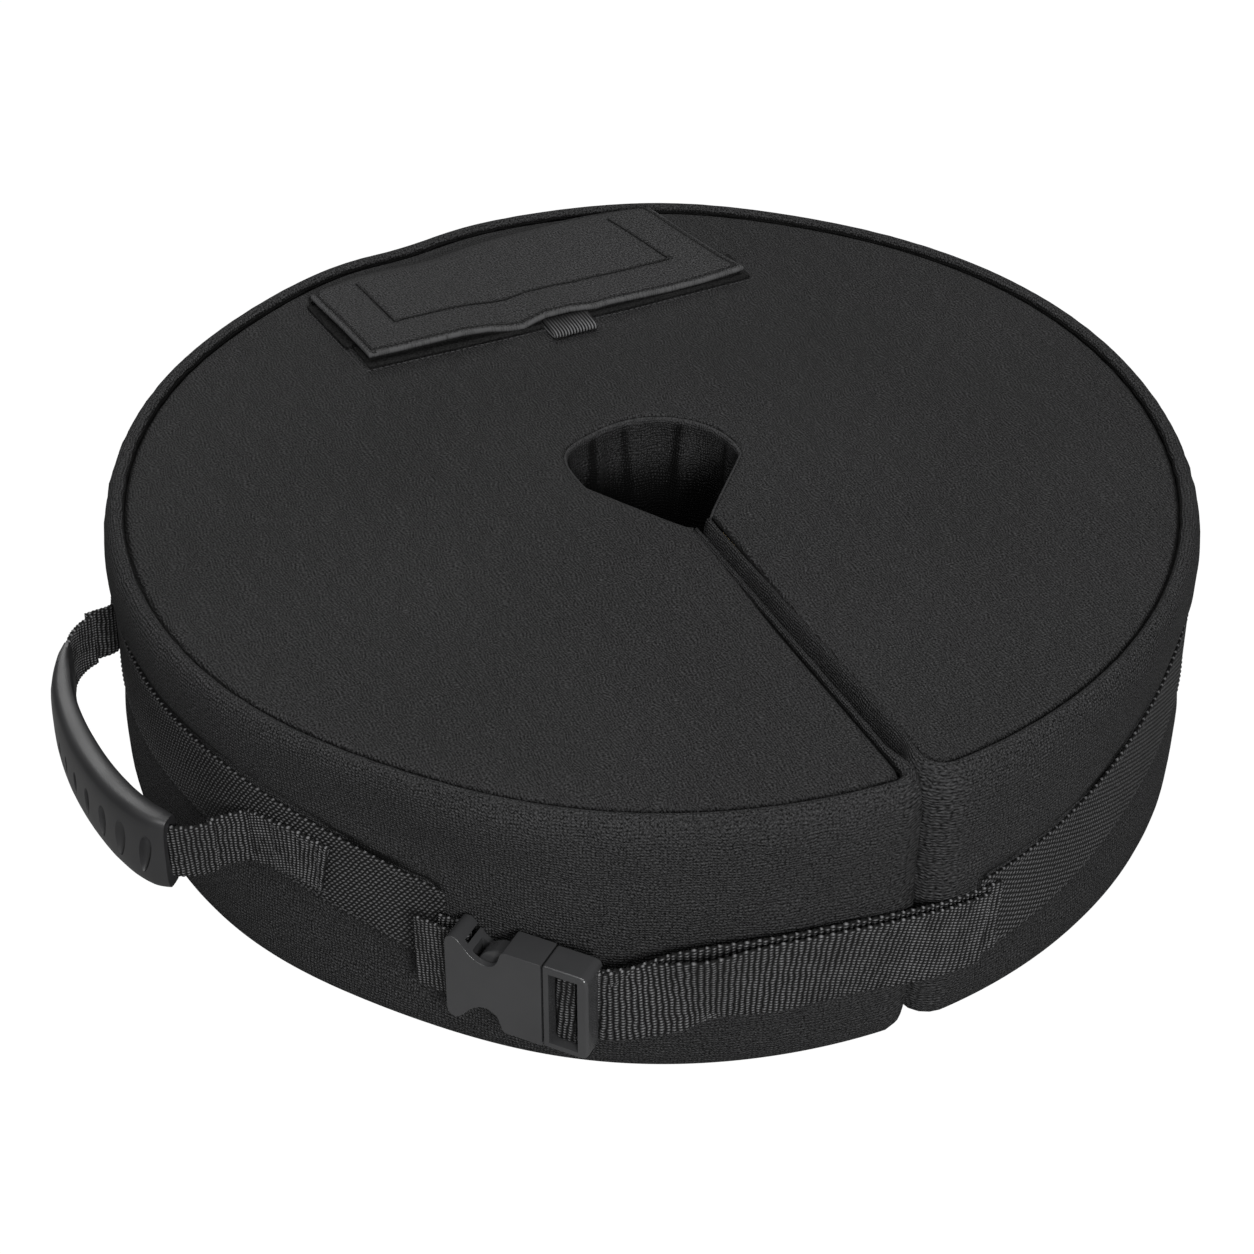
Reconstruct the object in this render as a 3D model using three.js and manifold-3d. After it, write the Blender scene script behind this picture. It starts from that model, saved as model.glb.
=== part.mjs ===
// Round sandbag weight with a keyhole for a pole: a drum of woven fabric full of sand, slit from its
// rim to a pole hole in the middle, closed across the slit by a webbing strap and a side-release buckle.
// Millimetres, +Z up. Drawn about the bag's own axis, slit towards -Y, filling flap at +Y, handle at -X.
import * as THREE from "three";
import { mergeVertices } from "three/addons/utils/BufferGeometryUtils.js";
import Module from "manifold-3d";

// ---- driving dimensions -------------------------------------------------------------------------
const BAG_RADIUS = 228.6; // widest, at the shoulder: an 18 inch bag
const BAG_HEIGHT = 126.5; // at the rim
const CROWN = 3; // how far the middle of the top stands above the rim
const WALL_RADIUS = 225.5; // the drum's side under the belt
const FABRIC = 1; // every shell panel
const GAP = 0.35; // between pieces that touch
const STEPS = 72; // sides of every round piece, so that nested pieces share their corners
const DEG = Math.PI / 180;
const STEP = 360 / STEPS;

const HOLE = { x: 5, y: 3, r: 35, from: -14, to: 185 }; // pole hole, and where its round part ends
const SLIT = { x: 2, half: 4, throatRight: -41, throatLeft: -45 };

const BELT = { width: 38, thick: 1.5, from: -82, to: 222, low: 46.5, rise: 29.5 };
const STRAP = { width: 34, thick: 1.4 };
const DENT = { angle: -143, depth: 9.5, spread: 12 }; // where the buckle is pulled into the side
const DENT_FROM = 150; // radius inside which nothing is pulled in

const MOUTH = { x: 14, y: 166, width: 112, depth: 28, sunk: 9 }; // sunk: room over the sand under it
const FLAP = { left: -74, right: 108, front: 126, backLeft: -77, backRight: 93, back: 190.5, thick: 1 };
const TAPE = { width: 20, thick: 1.3 };
const FLAP_HEM_BULGE = 13;

const HANDLE = { x: -228, z: 66, front: -77, rear: 72, beside: 2.6, width: 25, thick: 2.6 };
const GRIP = { width: 32, thick: 14, slotWidth: 26, slotThick: 3.6 };

const BUCKLE = { thick: 14, half: 20.5, female: 40.7, length: 60, z: 48, bevel: 1.2 };
const BUCKLE_START = { angle: -135.5, r: 228.3 }; // web end of the socket, on the buckle's middle plane
const BUCKLE_END = { angle: -121.8, r: 241.5 };

// ---- solids and booleans ------------------------------------------------------------------------
const wasm = await Module();
wasm.setup();

function bare(geometry) {
  const copy = geometry.clone();
  copy.deleteAttribute("normal");
  copy.deleteAttribute("uv");
  return mergeVertices(copy, 1e-3);
}

function solid(geometry) {
  const merged = bare(geometry);
  const vertProperties = new Float32Array(merged.attributes.position.array);
  const triVerts = new Uint32Array(merged.index.array);
  return new wasm.Manifold(new wasm.Mesh({ numProp: 3, vertProperties, triVerts }));
}

function geometryOf(manifold) {
  const mesh = manifold.getMesh();
  const geometry = new THREE.BufferGeometry();
  geometry.setAttribute("position", new THREE.BufferAttribute(new Float32Array(mesh.vertProperties), 3));
  geometry.setIndex(new THREE.BufferAttribute(new Uint32Array(mesh.triVerts), 1));
  return geometry;
}

function box(x0, x1, y0, y1, z0, z1) {
  const block = new THREE.BoxGeometry(x1 - x0, y1 - y0, z1 - z0);
  return block.translate((x0 + x1) / 2, (y0 + y1) / 2, (z0 + z1) / 2);
}

function outline(points) {
  return new THREE.Shape(points.map(([x, y]) => new THREE.Vector2(x, y)));
}

function plate(shape, z0, z1, curveSegments = 12) {
  const options = { depth: z1 - z0, bevelEnabled: false, curveSegments };
  return new THREE.ExtrudeGeometry(shape, options).translate(0, 0, z0);
}

function polar(angle, r) {
  return [r * Math.cos(angle * DEG), r * Math.sin(angle * DEG)];
}

// ---- the round bag ------------------------------------------------------------------------------
// Side profile from the middle of the base, out, up and back to the middle of the top.
const PROFILE = [
  [0, 0], [217, 0], [222, 3], [224.6, 9], [WALL_RADIUS, 22], [WALL_RADIUS, 96],
  [BAG_RADIUS - 1, 102], [BAG_RADIUS, 109], [BAG_RADIUS - 1.4, 118], [BAG_RADIUS - 5, 124.5],
  [BAG_RADIUS - 10, BAG_HEIGHT], [118, BAG_HEIGHT], [70, BAG_HEIGHT + CROWN], [0, BAG_HEIGHT + CROWN],
];

// The heap of sand inside it, in fewer steps, so that it clears the fabric all round.
const SAND_PROFILE = [
  [0, 1.4], [216, 1.4], [223, 10], [224, 22], [224, 97], [226.6, 109], [222, 122], [216, 124.9], [0, 124.9],
].map(([r, z]) => new THREE.Vector2(r, z));

// The bag's profile moved inwards by a distance, each corner along the mean of its two sides.
function profile(inset) {
  return PROFILE.map(([r, z], i) => {
    const before = PROFILE[Math.max(i - 1, 0)];
    const after = PROFILE[Math.min(i + 1, PROFILE.length - 1)];
    const sides = [[before, PROFILE[i]], [PROFILE[i], after]].filter(([a, b]) => a !== b);
    const normals = sides.map(([a, b]) => new THREE.Vector2(a[1] - b[1], b[0] - a[0]).normalize());
    const mean = normals.reduce((sum, n) => sum.add(n), new THREE.Vector2()).normalize();
    const reach = inset / mean.dot(normals[0]);
    return new THREE.Vector2(r === 0 ? 0 : r + mean.x * reach, z + mean.y * reach);
  });
}

// Pulls a round piece in where the tight belt and the buckle press on the sand.
function squeeze(geometry) {
  const p = geometry.attributes.position;
  for (let i = 0; i < p.count; i++) {
    const r = Math.hypot(p.getX(i), p.getY(i));
    if (r < DENT_FROM) continue;
    const angle = Math.atan2(p.getY(i), p.getX(i)) / DEG;
    const off = (((angle - DENT.angle) % 360) + 540) % 360 - 180;
    const z = p.getZ(i);
    const weight = z < 22 ? THREE.MathUtils.mapLinear(z, 0, 22, 0.45, 1)
      : THREE.MathUtils.mapLinear(THREE.MathUtils.clamp(z, 96, 130), 96, 130, 1, 0.3);
    const pull = DENT.depth * weight * Math.exp(-0.5 * (off / DENT.spread) ** 2) / r;
    p.setX(i, p.getX(i) * (1 - pull));
    p.setY(i, p.getY(i) * (1 - pull));
  }
  return geometry;
}

function lathe(points, steps) {
  return new THREE.LatheGeometry(points, steps).rotateX(Math.PI / 2);
}

function drum(inset) {
  return solid(squeeze(lathe(profile(inset), STEPS)));
}

// The pole hole and the slit that leads to it, cut wider by grow, as a prism through the whole bag.
function keyhole(grow) {
  const shape = new THREE.Shape();
  shape.moveTo(SLIT.x + SLIT.half + grow, -300);
  shape.lineTo(SLIT.x + SLIT.half + grow, SLIT.throatRight);
  shape.absarc(HOLE.x, HOLE.y, HOLE.r + grow, HOLE.from * DEG, HOLE.to * DEG);
  shape.lineTo(SLIT.x - SLIT.half - grow, SLIT.throatLeft);
  shape.lineTo(SLIT.x - SLIT.half - grow, -300);
  return solid(plate(shape, -10, 150, 16));
}

function cylinder(r, z0, z1, x = 0, y = 0) {
  const round = new THREE.CylinderGeometry(r, r, z1 - z0, STEPS).rotateX(Math.PI / 2);
  return solid(round.translate(x, y, (z0 + z1) / 2));
}

const MOUTH_BOX = [
  MOUTH.x - MOUTH.width / 2, MOUTH.x + MOUTH.width / 2,
  MOUTH.y - MOUTH.depth / 2, MOUTH.y + MOUTH.depth / 2,
];

const TOP_SEAM = 219; // radius of the seam between the top panel and the side
const BASE_SEAM = 1.6; // height of the seam between the base and the side
const LINER = HOLE.r + FABRIC + 6; // the liner's own stretch of the walls, round the hole

const skin = drum(0).subtract(keyhole(0)).subtract(drum(FABRIC).subtract(keyhole(FABRIC)));
const sidesOnly = solid(box(-300, 300, -300, 300, BASE_SEAM, BAG_HEIGHT - FABRIC - GAP));
const rimRing = cylinder(300, BAG_HEIGHT - 12, 150).subtract(cylinder(TOP_SEAM, BAG_HEIGHT - 14, 152));
const holeArea = cylinder(LINER, -20, 160, HOLE.x, HOLE.y);
const holeAreaWider = cylinder(LINER + GAP, -20, 160, HOLE.x, HOLE.y);

const topPanel = skin
  .intersect(cylinder(TOP_SEAM - GAP, BAG_HEIGHT - FABRIC - 0.01, 150))
  .subtract(solid(box(...MOUTH_BOX, 100, 150)));
const bottomPanel = skin.intersect(solid(box(-300, 300, -300, 300, -1, FABRIC)));
const walls = skin.intersect(sidesOnly).add(skin.intersect(rimRing));
const outerWall = walls.subtract(holeAreaWider);
const holeLiner = skin.intersect(sidesOnly).intersect(holeArea);
const sandFill = solid(squeeze(lathe(SAND_PROFILE, STEPS / 2)))
  .subtract(keyhole(FABRIC + GAP))
  .subtract(solid(box(...MOUTH_BOX, BAG_HEIGHT - MOUTH.sunk, 150)));

// ---- belt, strap and everything that follows the side -------------------------------------------
// Height of the middle of the sewn belt: low in front, where it meets the strap, and high at the back.
function beltHeight(angle) {
  const off = ((angle + 100 + 540) % 360) - 180;
  const [hold, span] = off < 0 ? [22, 50] : [14, 46];
  return BELT.low + BELT.rise * THREE.MathUtils.smoothstep(Math.abs(off), hold, hold + span);
}

function strapHeight(angle) {
  const rise = THREE.MathUtils.smoothstep(angle, -121, -107);
  const fall = THREE.MathUtils.smoothstep(angle, -100, -82);
  return BUCKLE.z + 9 * rise - 10.5 * fall;
}

// Angles from one end to the other, through every shared corner between them.
function anglesBetween(from, to) {
  const angles = [from];
  for (let a = Math.ceil((from + 1) / STEP) * STEP; a < to - 1; a += STEP) angles.push(a);
  return [...angles, to];
}

// A band lying on the side, from inner to outer radius, standing width high at the height asked for.
function sideBand(from, to, inner, outer, width, height) {
  const angles = anglesBetween(from, to);
  const back = [...angles].reverse();
  const ring = outline([...angles.map((a) => polar(a, outer)), ...back.map((a) => polar(a, inner))]);
  const band = plate(ring, -width / 2, width / 2);
  const p = band.attributes.position;
  for (let i = 0; i < p.count; i++) {
    p.setZ(i, p.getZ(i) + height(Math.atan2(p.getY(i), p.getX(i)) / DEG));
  }
  return squeeze(band);
}

const BELT_INNER = WALL_RADIUS + GAP;
const BELT_OUTER = BELT_INNER + BELT.thick;
const belt = sideBand(BELT.from, BELT.to, BELT_INNER, BELT_OUTER, BELT.width, beltHeight);

// ---- buckle frame: u along the pull, v up, w out of the bag --------------------------------------
const start = new THREE.Vector3(...polar(BUCKLE_START.angle, BUCKLE_START.r), BUCKLE.z);
const end = new THREE.Vector3(...polar(BUCKLE_END.angle, BUCKLE_END.r), BUCKLE.z);
const pull = end.clone().sub(start).normalize();
const up = new THREE.Vector3(0, 0, 1);
const outward = pull.clone().cross(up);
const buckleFrame = new THREE.Matrix4().makeBasis(pull, up, outward).setPosition(start);

// A buckle piece: an outline in u and v, between two heights w, with its edges eased by a bevel.
function moulded(shape, w0, w1, bevel = 0) {
  const options = {
    depth: w1 - w0 - 2 * bevel, bevelEnabled: bevel > 0, bevelThickness: bevel, bevelSize: bevel,
    bevelOffset: -bevel, bevelSegments: 2, curveSegments: 6,
  };
  return solid(new THREE.ExtrudeGeometry(shape, options).translate(0, 0, w0 + bevel));
}

function bar(u0, u1, v0, v1, w0, w1) {
  return solid(box(u0, u1, v0, v1, w0, w1));
}

// Both halves of an outline that is the same above and below the buckle's middle line.
function mirrored(half) {
  return outline([...half.map(([u, v]) => [u, -v]), ...[...half].reverse()]);
}

const HALF = BUCKLE.half;
const FACE = BUCKLE.thick / 2;
const socketOutline = mirrored([
  [0, HALF], [4, HALF - 0.6], [8, HALF - 4], [12, HALF - 7], [16, HALF - 8], [20, HALF - 7.4],
  [22.6, HALF - 4.5], [23.6, HALF - 1], [25, HALF], [BUCKLE.female, HALF],
]);
const INSIDE = { half: 17.6, thick: 4.2 };
const buckleSocket = moulded(socketOutline, -FACE, FACE, BUCKLE.bevel)
  .subtract(bar(10.5, BUCKLE.female + 1, -INSIDE.half, INSIDE.half, -INSIDE.thick, INSIDE.thick))
  .subtract(bar(-1, 8.5, -INSIDE.half, INSIDE.half, -FACE - 1, 3.3))
  .add(bar(0.6, 3.8, -HALF + 1.5, HALF - 1.5, -4, -1));

const loopOutline = outline([
  [-14, -5.85], [4.4, -5.85], [5.65, -4.6], [5.65, -0.4], [4.4, 0.85], [0.2, 0.85], [-4.5, -2.85],
  [-14, -2.85],
]);
loopOutline.holes.push(outline([[0.25, -4.35], [0.25, -0.65], [4.15, -0.65], [4.15, -4.35]]));
const buckleWebLoop = moulded(loopOutline, -STRAP.width / 2, STRAP.width / 2);

const SLOT_HALF = STRAP.width / 2 + 0.45;
const plugOutline = mirrored([
  [BUCKLE.female + GAP, HALF], [BUCKLE.length - 3, HALF], [BUCKLE.length, HALF - 3.5],
]);
const bucklePlug = moulded(plugOutline, -FACE, FACE, BUCKLE.bevel)
  .subtract(bar(43.9, 46.5, -SLOT_HALF, SLOT_HALF, -FACE - 1, FACE + 1)) // slot by the socket
  .subtract(bar(53.3, 56, -SLOT_HALF, SLOT_HALF, -FACE - 1, FACE + 1)) // slot by the end bar
  .subtract(bar(45, 55, -SLOT_HALF, SLOT_HALF, -FACE - 1, -2.4)) // behind the middle bar
  .subtract(bar(45, 55, -SLOT_HALF, SLOT_HALF, 1.5, FACE + 1)) // in front of it
  .subtract(bar(55, 62, -SLOT_HALF, SLOT_HALF, -FACE - 1, -1.9)) // behind the end bar
  .add(bar(30, 42, -16.8, 16.8, -3.6, 3.6)) // the block that slides in the throat
  .add(bar(14, 32, -3.4, 3.4, -2.6, 2.6)); // the guide blade

const prongOutline = outline([
  [29.4, 9], [29.4, 15.2], [25, 17.1], [21, 17.3], [17, 16], [14, 13.2], [12.4, 9.8], [13.2, 7.8],
  [16, 8.4], [21, 10.4],
]);
const latchProng = moulded(prongOutline, -3.4, 3.4, 0.5);

// ---- closing strap: one length of webbing, in plan, with its path through the buckle --------------
function buckleSpot(u, w) {
  const spot = new THREE.Vector3(u, 0, w).applyMatrix4(buckleFrame);
  return [spot.x, spot.y];
}

const runIn = [
  [-80.3, BELT_OUTER + 1.15], [-85, BELT_OUTER + 1.4], [-90, BELT_OUTER + 2.6], [-97, BELT_OUTER + 4.6],
  [-104, BELT_OUTER + 6.4], [-111, BELT_OUTER + 7.6], [-116, BELT_OUTER + 8.2],
].map(([a, r]) => polar(a, r));
const throughBuckle = [
  [62, -5.7], [54, -5.6], [46.8, -5.5], [45.5, -4.6], [45.2, -2.5], [45.2, 1], [45.6, 2.3],
  [46.9, 2.8], [50, 2.8], [53.2, 2.8], [54.4, 2.2], [54.65, 1], [54.7, -1.4], [55.4, -2.7],
  [57, -3.1], [62, -3.1],
].map(([u, w]) => buckleSpot(u, w));
const tailOut = [
  [-116, BELT_OUTER + 11.6], [-111, BELT_OUTER + 11.4], [-104, BELT_OUTER + 10.4], [-97, BELT_OUTER + 8.4],
  [-90, BELT_OUTER + 6.2], [-86, BELT_OUTER + 5.2], [-82.6, BELT_OUTER + 4.6],
].map(([a, r]) => polar(a, r));

// A strip of webbing standing on its edge along a path seen from above.
function strip(path, thick) {
  const points = path.map(([x, y]) => new THREE.Vector2(x, y));
  const side = (sign) => points.map((p, i) => {
    const before = points[Math.max(i - 1, 0)];
    const after = points[Math.min(i + 1, points.length - 1)];
    const a = (i === 0 ? after.clone().sub(p) : p.clone().sub(before)).normalize();
    const b = (i === points.length - 1 ? p.clone().sub(before) : after.clone().sub(p)).normalize();
    const normal = new THREE.Vector2(-(a.y + b.y), a.x + b.x).normalize();
    const reach = (sign * thick) / 2 / normal.dot(new THREE.Vector2(-a.y, a.x));
    return [p.x + normal.x * reach, p.y + normal.y * reach];
  });
  return outline([...side(1), ...side(-1).reverse()]);
}

function closingStrap() {
  const path = strip([...runIn, ...throughBuckle, ...tailOut], STRAP.thick);
  const flat = plate(path, -STRAP.width / 2, STRAP.width / 2);
  const p = flat.attributes.position;
  for (let i = 0; i < p.count; i++) {
    p.setZ(i, p.getZ(i) + strapHeight(Math.atan2(p.getY(i), p.getX(i)) / DEG));
  }
  return flat;
}

// ---- filling flap, its touch tapes and the sewn hem behind it -------------------------------------
const STACK = BAG_HEIGHT + GAP; // where the loop tapes start
const HOOK = STACK + TAPE.thick + GAP;
const LINING = HOOK + TAPE.thick + GAP;
const FACE_PANEL = LINING + FLAP.thick + GAP;
const FLAP_TOP = FACE_PANEL + FLAP.thick;

const flapOutline = outline([
  [FLAP.left, FLAP.front], [FLAP.right, FLAP.front],
  [FLAP.backRight, FLAP.back], [FLAP.backLeft, FLAP.back],
]);
const hemOutline = new THREE.Shape();
hemOutline.moveTo(FLAP.backLeft, FLAP.back + 0.5);
hemOutline.lineTo(FLAP.backRight, FLAP.back + 0.5);
hemOutline.quadraticCurveTo(
  (FLAP.backLeft + FLAP.backRight) / 2, FLAP.back + 2 * FLAP_HEM_BULGE, FLAP.backLeft, FLAP.back + 0.5,
);

// Three tapes round the front and sides of the mouth: [x0, x1, y0, y1] of each.
const SIDE_TAPE = [FLAP.front + TAPE.width + 2, FLAP.back - 1.5];
const TAPES = {
  front: [FLAP.left + 2, FLAP.right - 3, FLAP.front + 1.5, FLAP.front + 1.5 + TAPE.width],
  left: [FLAP.left + 2, FLAP.left + 2 + TAPE.width, ...SIDE_TAPE],
  right: [FLAP.backRight - 1.5 - TAPE.width, FLAP.backRight - 1.5, ...SIDE_TAPE],
};

// The pull tab: a short folded loop of webbing sewn under the flap's front edge.
const TAB = { x: 16, width: 20, reach: 13 };
const tabProfile = outline([
  [FLAP.front - TAB.reach, STACK + 0.2], [FLAP.front - TAB.reach - 1.4, STACK + 2],
  [FLAP.front - TAB.reach, STACK + 3.8], [FLAP.front - GAP, STACK + 3.8], [FLAP.front - GAP, STACK + 0.2],
]);
const right = new THREE.Vector3(1, 0, 0);
const back = new THREE.Vector3(0, 1, 0);
const pullTab = new THREE.ExtrudeGeometry(tabProfile, { depth: TAB.width, bevelEnabled: false })
  .applyMatrix4(new THREE.Matrix4().makeBasis(back, up, right))
  .translate(TAB.x - TAB.width / 2, 0, 0);

// ---- carrying handle ------------------------------------------------------------------------------
const handleRoute = new THREE.CatmullRomCurve3([
  [HANDLE.x + 0.5, HANDLE.front], [-237, HANDLE.front - 0.2], [-245.5, -70], [-252.5, -55], [-256.8, -33],
  [-257, -5], [-254.6, 20], [-249, 41], [-242, 57], [-235.5, 69], [HANDLE.x + 0.5, HANDLE.rear],
].map(([x, y]) => new THREE.Vector3(x, y, HANDLE.z)));

function part(curve, from, to) {
  const points = [];
  for (let i = 0; i <= 12; i++) points.push(curve.getPointAt(THREE.MathUtils.lerp(from, to, i / 12)));
  return new THREE.CatmullRomCurve3(points);
}

const webbingSection = outline([
  [-HANDLE.width / 2, -HANDLE.thick / 2], [HANDLE.width / 2, -HANDLE.thick / 2],
  [HANDLE.width / 2, HANDLE.thick / 2], [-HANDLE.width / 2, HANDLE.thick / 2],
]);
const handleWebbing = new THREE.ExtrudeGeometry(webbingSection, { steps: 24, extrudePath: handleRoute });

const gripSection = new THREE.Shape().absellipse(0, 0, GRIP.width / 2, GRIP.thick / 2, 0, 2 * Math.PI);
gripSection.holes.push(outline([
  [-GRIP.slotWidth / 2, -GRIP.slotThick / 2], [-GRIP.slotWidth / 2, GRIP.slotThick / 2],
  [GRIP.slotWidth / 2, GRIP.slotThick / 2], [GRIP.slotWidth / 2, -GRIP.slotThick / 2],
]));
const gripOptions = { steps: 12, extrudePath: part(handleRoute, 0.13, 0.87), curveSegments: 10 };
const handleGrip = new THREE.ExtrudeGeometry(gripSection, gripOptions);

// A sewn end of the handle: flat on the belt, then turned out beside the end that swings.
function handleEnd(sewnTo, rootAngle, y) {
  const lying = anglesBetween(Math.min(sewnTo, rootAngle), Math.max(sewnTo, rootAngle));
  const ordered = sewnTo > rootAngle ? lying.reverse() : lying;
  const onBelt = ordered.map((a) => {
    const off = (((a - DENT.angle) % 360) + 540) % 360 - 180;
    return polar(a, BELT_OUTER + 1.25 - DENT.depth * Math.exp(-0.5 * (off / DENT.spread) ** 2));
  });
  const path = strip([...onBelt, [HANDLE.x, y]], 1.6);
  return plate(path, HANDLE.z - HANDLE.width / 2, HANDLE.z + HANDLE.width / 2);
}

// ---- looks ----------------------------------------------------------------------------------------
function finish(color, roughness) {
  return new THREE.MeshStandardMaterial({ color, roughness, metalness: 0 });
}

const oxford = finish(0x303030, 0.85);
const oxfordTop = finish(0x363636, 0.85);
const webbing = finish(0x3c3c3c, 0.8);
const hooks = finish(0x1c1c1c, 0.95);
const acetal = finish(0x262626, 0.35);
const gripRubber = finish(0x1e1e1e, 0.6);
const sand = finish(0xc2ab80, 1);

// ---- the assembly ---------------------------------------------------------------------------------
const bag = new THREE.Group();

function add(name, shape, material, matrix) {
  const geometry = shape.isBufferGeometry ? shape : geometryOf(shape);
  geometry.computeVertexNormals();
  const mesh = new THREE.Mesh(geometry, material);
  mesh.name = name;
  if (matrix) mesh.applyMatrix4(matrix);
  bag.add(mesh);
}

add("top_panel", topPanel, oxfordTop);
add("bottom_panel", bottomPanel, oxford);
add("outer_wall", outerWall, oxford);
add("hole_liner", holeLiner, oxford);
add("sand_fill", sandFill, sand);

add("belt_webbing", belt, webbing);
const edgeOn = new THREE.Matrix4().makeBasis(right, up, back.clone().negate());
add("buckle_web_loop", buckleWebLoop, webbing, buckleFrame.clone().multiply(edgeOn));
add("buckle_socket", buckleSocket, acetal, buckleFrame);
add("buckle_plug", bucklePlug, acetal, buckleFrame);
add("latch_prong_upper", latchProng, acetal, buckleFrame);
const upsideDown = new THREE.Matrix4().makeRotationX(Math.PI);
add("latch_prong_lower", latchProng, acetal, buckleFrame.clone().multiply(upsideDown));
add("closing_strap", closingStrap(), webbing);

add("flap_face", plate(flapOutline, FACE_PANEL, FLAP_TOP), oxfordTop);
add("flap_lining", plate(flapOutline, LINING, LINING + FLAP.thick), oxford);
add("flap_rear_hem", plate(hemOutline, STACK, FLAP_TOP, 8), oxfordTop);
for (const [side, edges] of Object.entries(TAPES)) {
  add(`flap_hook_tape_${side}`, box(...edges, HOOK, HOOK + TAPE.thick), hooks);
  add(`panel_loop_tape_${side}`, box(...edges, STACK, STACK + TAPE.thick), hooks);
}
add("flap_pull_tab", pullTab, webbing);

add("handle_webbing", handleWebbing, webbing);
add("handle_grip", handleGrip, gripRubber);
add("handle_end_front", handleEnd(-151, -160.5, HANDLE.front + HANDLE.beside), webbing);
add("handle_end_rear", handleEnd(152, 160.9, HANDLE.rear + HANDLE.beside), webbing);

// The whole group is moved so that its box is centred over the origin, with its base at z = 0.
const extent = new THREE.Box3().setFromObject(bag, true);
const middle = extent.getCenter(new THREE.Vector3());
bag.position.set(-middle.x, -middle.y, 0);

export default bag;
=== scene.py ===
import math

import bmesh
import bpy
import numpy as np
from bpy.props import FloatProperty, FloatVectorProperty, PointerProperty
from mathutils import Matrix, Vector, noise


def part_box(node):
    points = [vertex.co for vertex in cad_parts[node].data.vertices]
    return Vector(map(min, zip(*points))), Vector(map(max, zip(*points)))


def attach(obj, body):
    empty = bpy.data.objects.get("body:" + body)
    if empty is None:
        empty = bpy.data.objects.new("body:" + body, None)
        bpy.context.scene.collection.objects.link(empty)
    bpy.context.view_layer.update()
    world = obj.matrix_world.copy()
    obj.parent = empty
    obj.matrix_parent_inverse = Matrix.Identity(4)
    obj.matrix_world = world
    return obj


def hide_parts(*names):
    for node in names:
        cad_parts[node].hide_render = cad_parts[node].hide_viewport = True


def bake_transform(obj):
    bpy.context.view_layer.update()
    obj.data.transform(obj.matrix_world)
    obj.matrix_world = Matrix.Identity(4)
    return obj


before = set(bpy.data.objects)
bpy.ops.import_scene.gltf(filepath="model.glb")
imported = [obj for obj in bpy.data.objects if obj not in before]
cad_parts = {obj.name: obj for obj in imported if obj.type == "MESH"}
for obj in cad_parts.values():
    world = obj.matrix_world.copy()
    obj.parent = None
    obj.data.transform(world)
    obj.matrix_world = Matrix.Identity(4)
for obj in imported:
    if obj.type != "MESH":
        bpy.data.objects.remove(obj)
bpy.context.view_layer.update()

bl_info = {
    "name": "Round Keyhole Sandbag",
    "version": (1, 0, 0),
    "blender": (4, 5, 0),
    "location": "View3D > Sidebar > Sandbag",
    "description": "Fabric, webbing, buckle and handle of a round weight bag, made round its CAD frame",
    "category": "Object",
}

# The bag's own upright axis in the frame, in metres. Lengths below are in millimetres from it.
AXIS = np.array([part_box("outer_wall")[1][0] - 0.2286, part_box("outer_wall")[1][1] - 0.2286, 0.0])
SEAM_R = 219.5  # seam between the top panel and the side
SEAM_Z = 126.2
HOLE_X, HOLE_Y, HOLE_R = 5.0, 3.0, 35.6
HOLE_FROM, HOLE_TO = -14.0, 185.0
HOLE_CORNER_AT, HOLE_CORNER_SPREAD, HOLE_CORNER_PULL = 143.0, 15.0, 4.4
THROAT_RIGHT, THROAT_LEFT = (7.2, -41.0), (-3.4, -45.0)
SLIT_RIGHT, SLIT_LEFT = 8.8, -4.4  # where the slit's two seams lie at the rim
CORNER_RIGHT, CORNER_LEFT = 8.0, 3.6
BELT_IN, BELT_OUT = 225.85, 227.35
BELT_FROM, BELT_TO = -82.0, 222.0
BELT_BACK = (BELT_FROM + BELT_TO) / 2
BUCKLE_START, BUCKLE_END = (-135.5, 228.3), (-121.8, 241.5)
BUCKLE_Z = 48.0
HANDLE_Z = 66.0
PULL, PULL_AT, PULL_SPREAD = 9.5, -143.0, 12.0  # how far the belt and the buckle press into the side
FLAP_L, FLAP_R, FLAP_FRONT, FLAP_BACK = -74.0, 108.5, 126.0, 190.7
FLAP_TOP, FLAP_THICK = 132.4, 2.3
FLAP_LEAN_LEFT, FLAP_LEAN_RIGHT = 3.5, 15.0  # how far its sides lie further left at the back
TOPSTITCH, INNER_STITCH = 2.4, 22.0  # its two lines of stitches, in from its free edges
PATTERN_SHIFT = 500.0  # so that the flap's weave does not carry on the panel's


# ---- numbers ---------------------------------------------------------------------------------
def smooth(a, lo, hi):
    t = np.clip((np.asarray(a, float) - lo) / (hi - lo), 0.0, 1.0)
    return t * t * (3.0 - 2.0 * t)


def bell(a, middle, spread):
    return np.exp(-0.5 * ((np.asarray(a, float) - middle) / spread) ** 2)


def turn(angle, about):
    return (np.asarray(angle, float) - about + 540.0) % 360.0 - 180.0


def polar(angle, r):
    a = np.radians(angle)
    return np.stack([r * np.cos(a), r * np.sin(a)], -1)


def unit(v):
    return v / np.maximum(np.linalg.norm(v, axis=-1, keepdims=True), 1e-9)


def rounded(points, times=3):
    """Corner cutting: a smooth curve through the middle of a rough path, its ends kept."""
    p = np.asarray(points, float)
    for _ in range(times):
        q = np.empty((2 * len(p), p.shape[1]))
        q[0], q[-1] = p[0], p[-1]
        q[1:-1:2] = 0.75 * p[:-1] + 0.25 * p[1:]
        q[2:-1:2] = 0.25 * p[:-1] + 0.75 * p[1:]
        p = q
    return p


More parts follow.
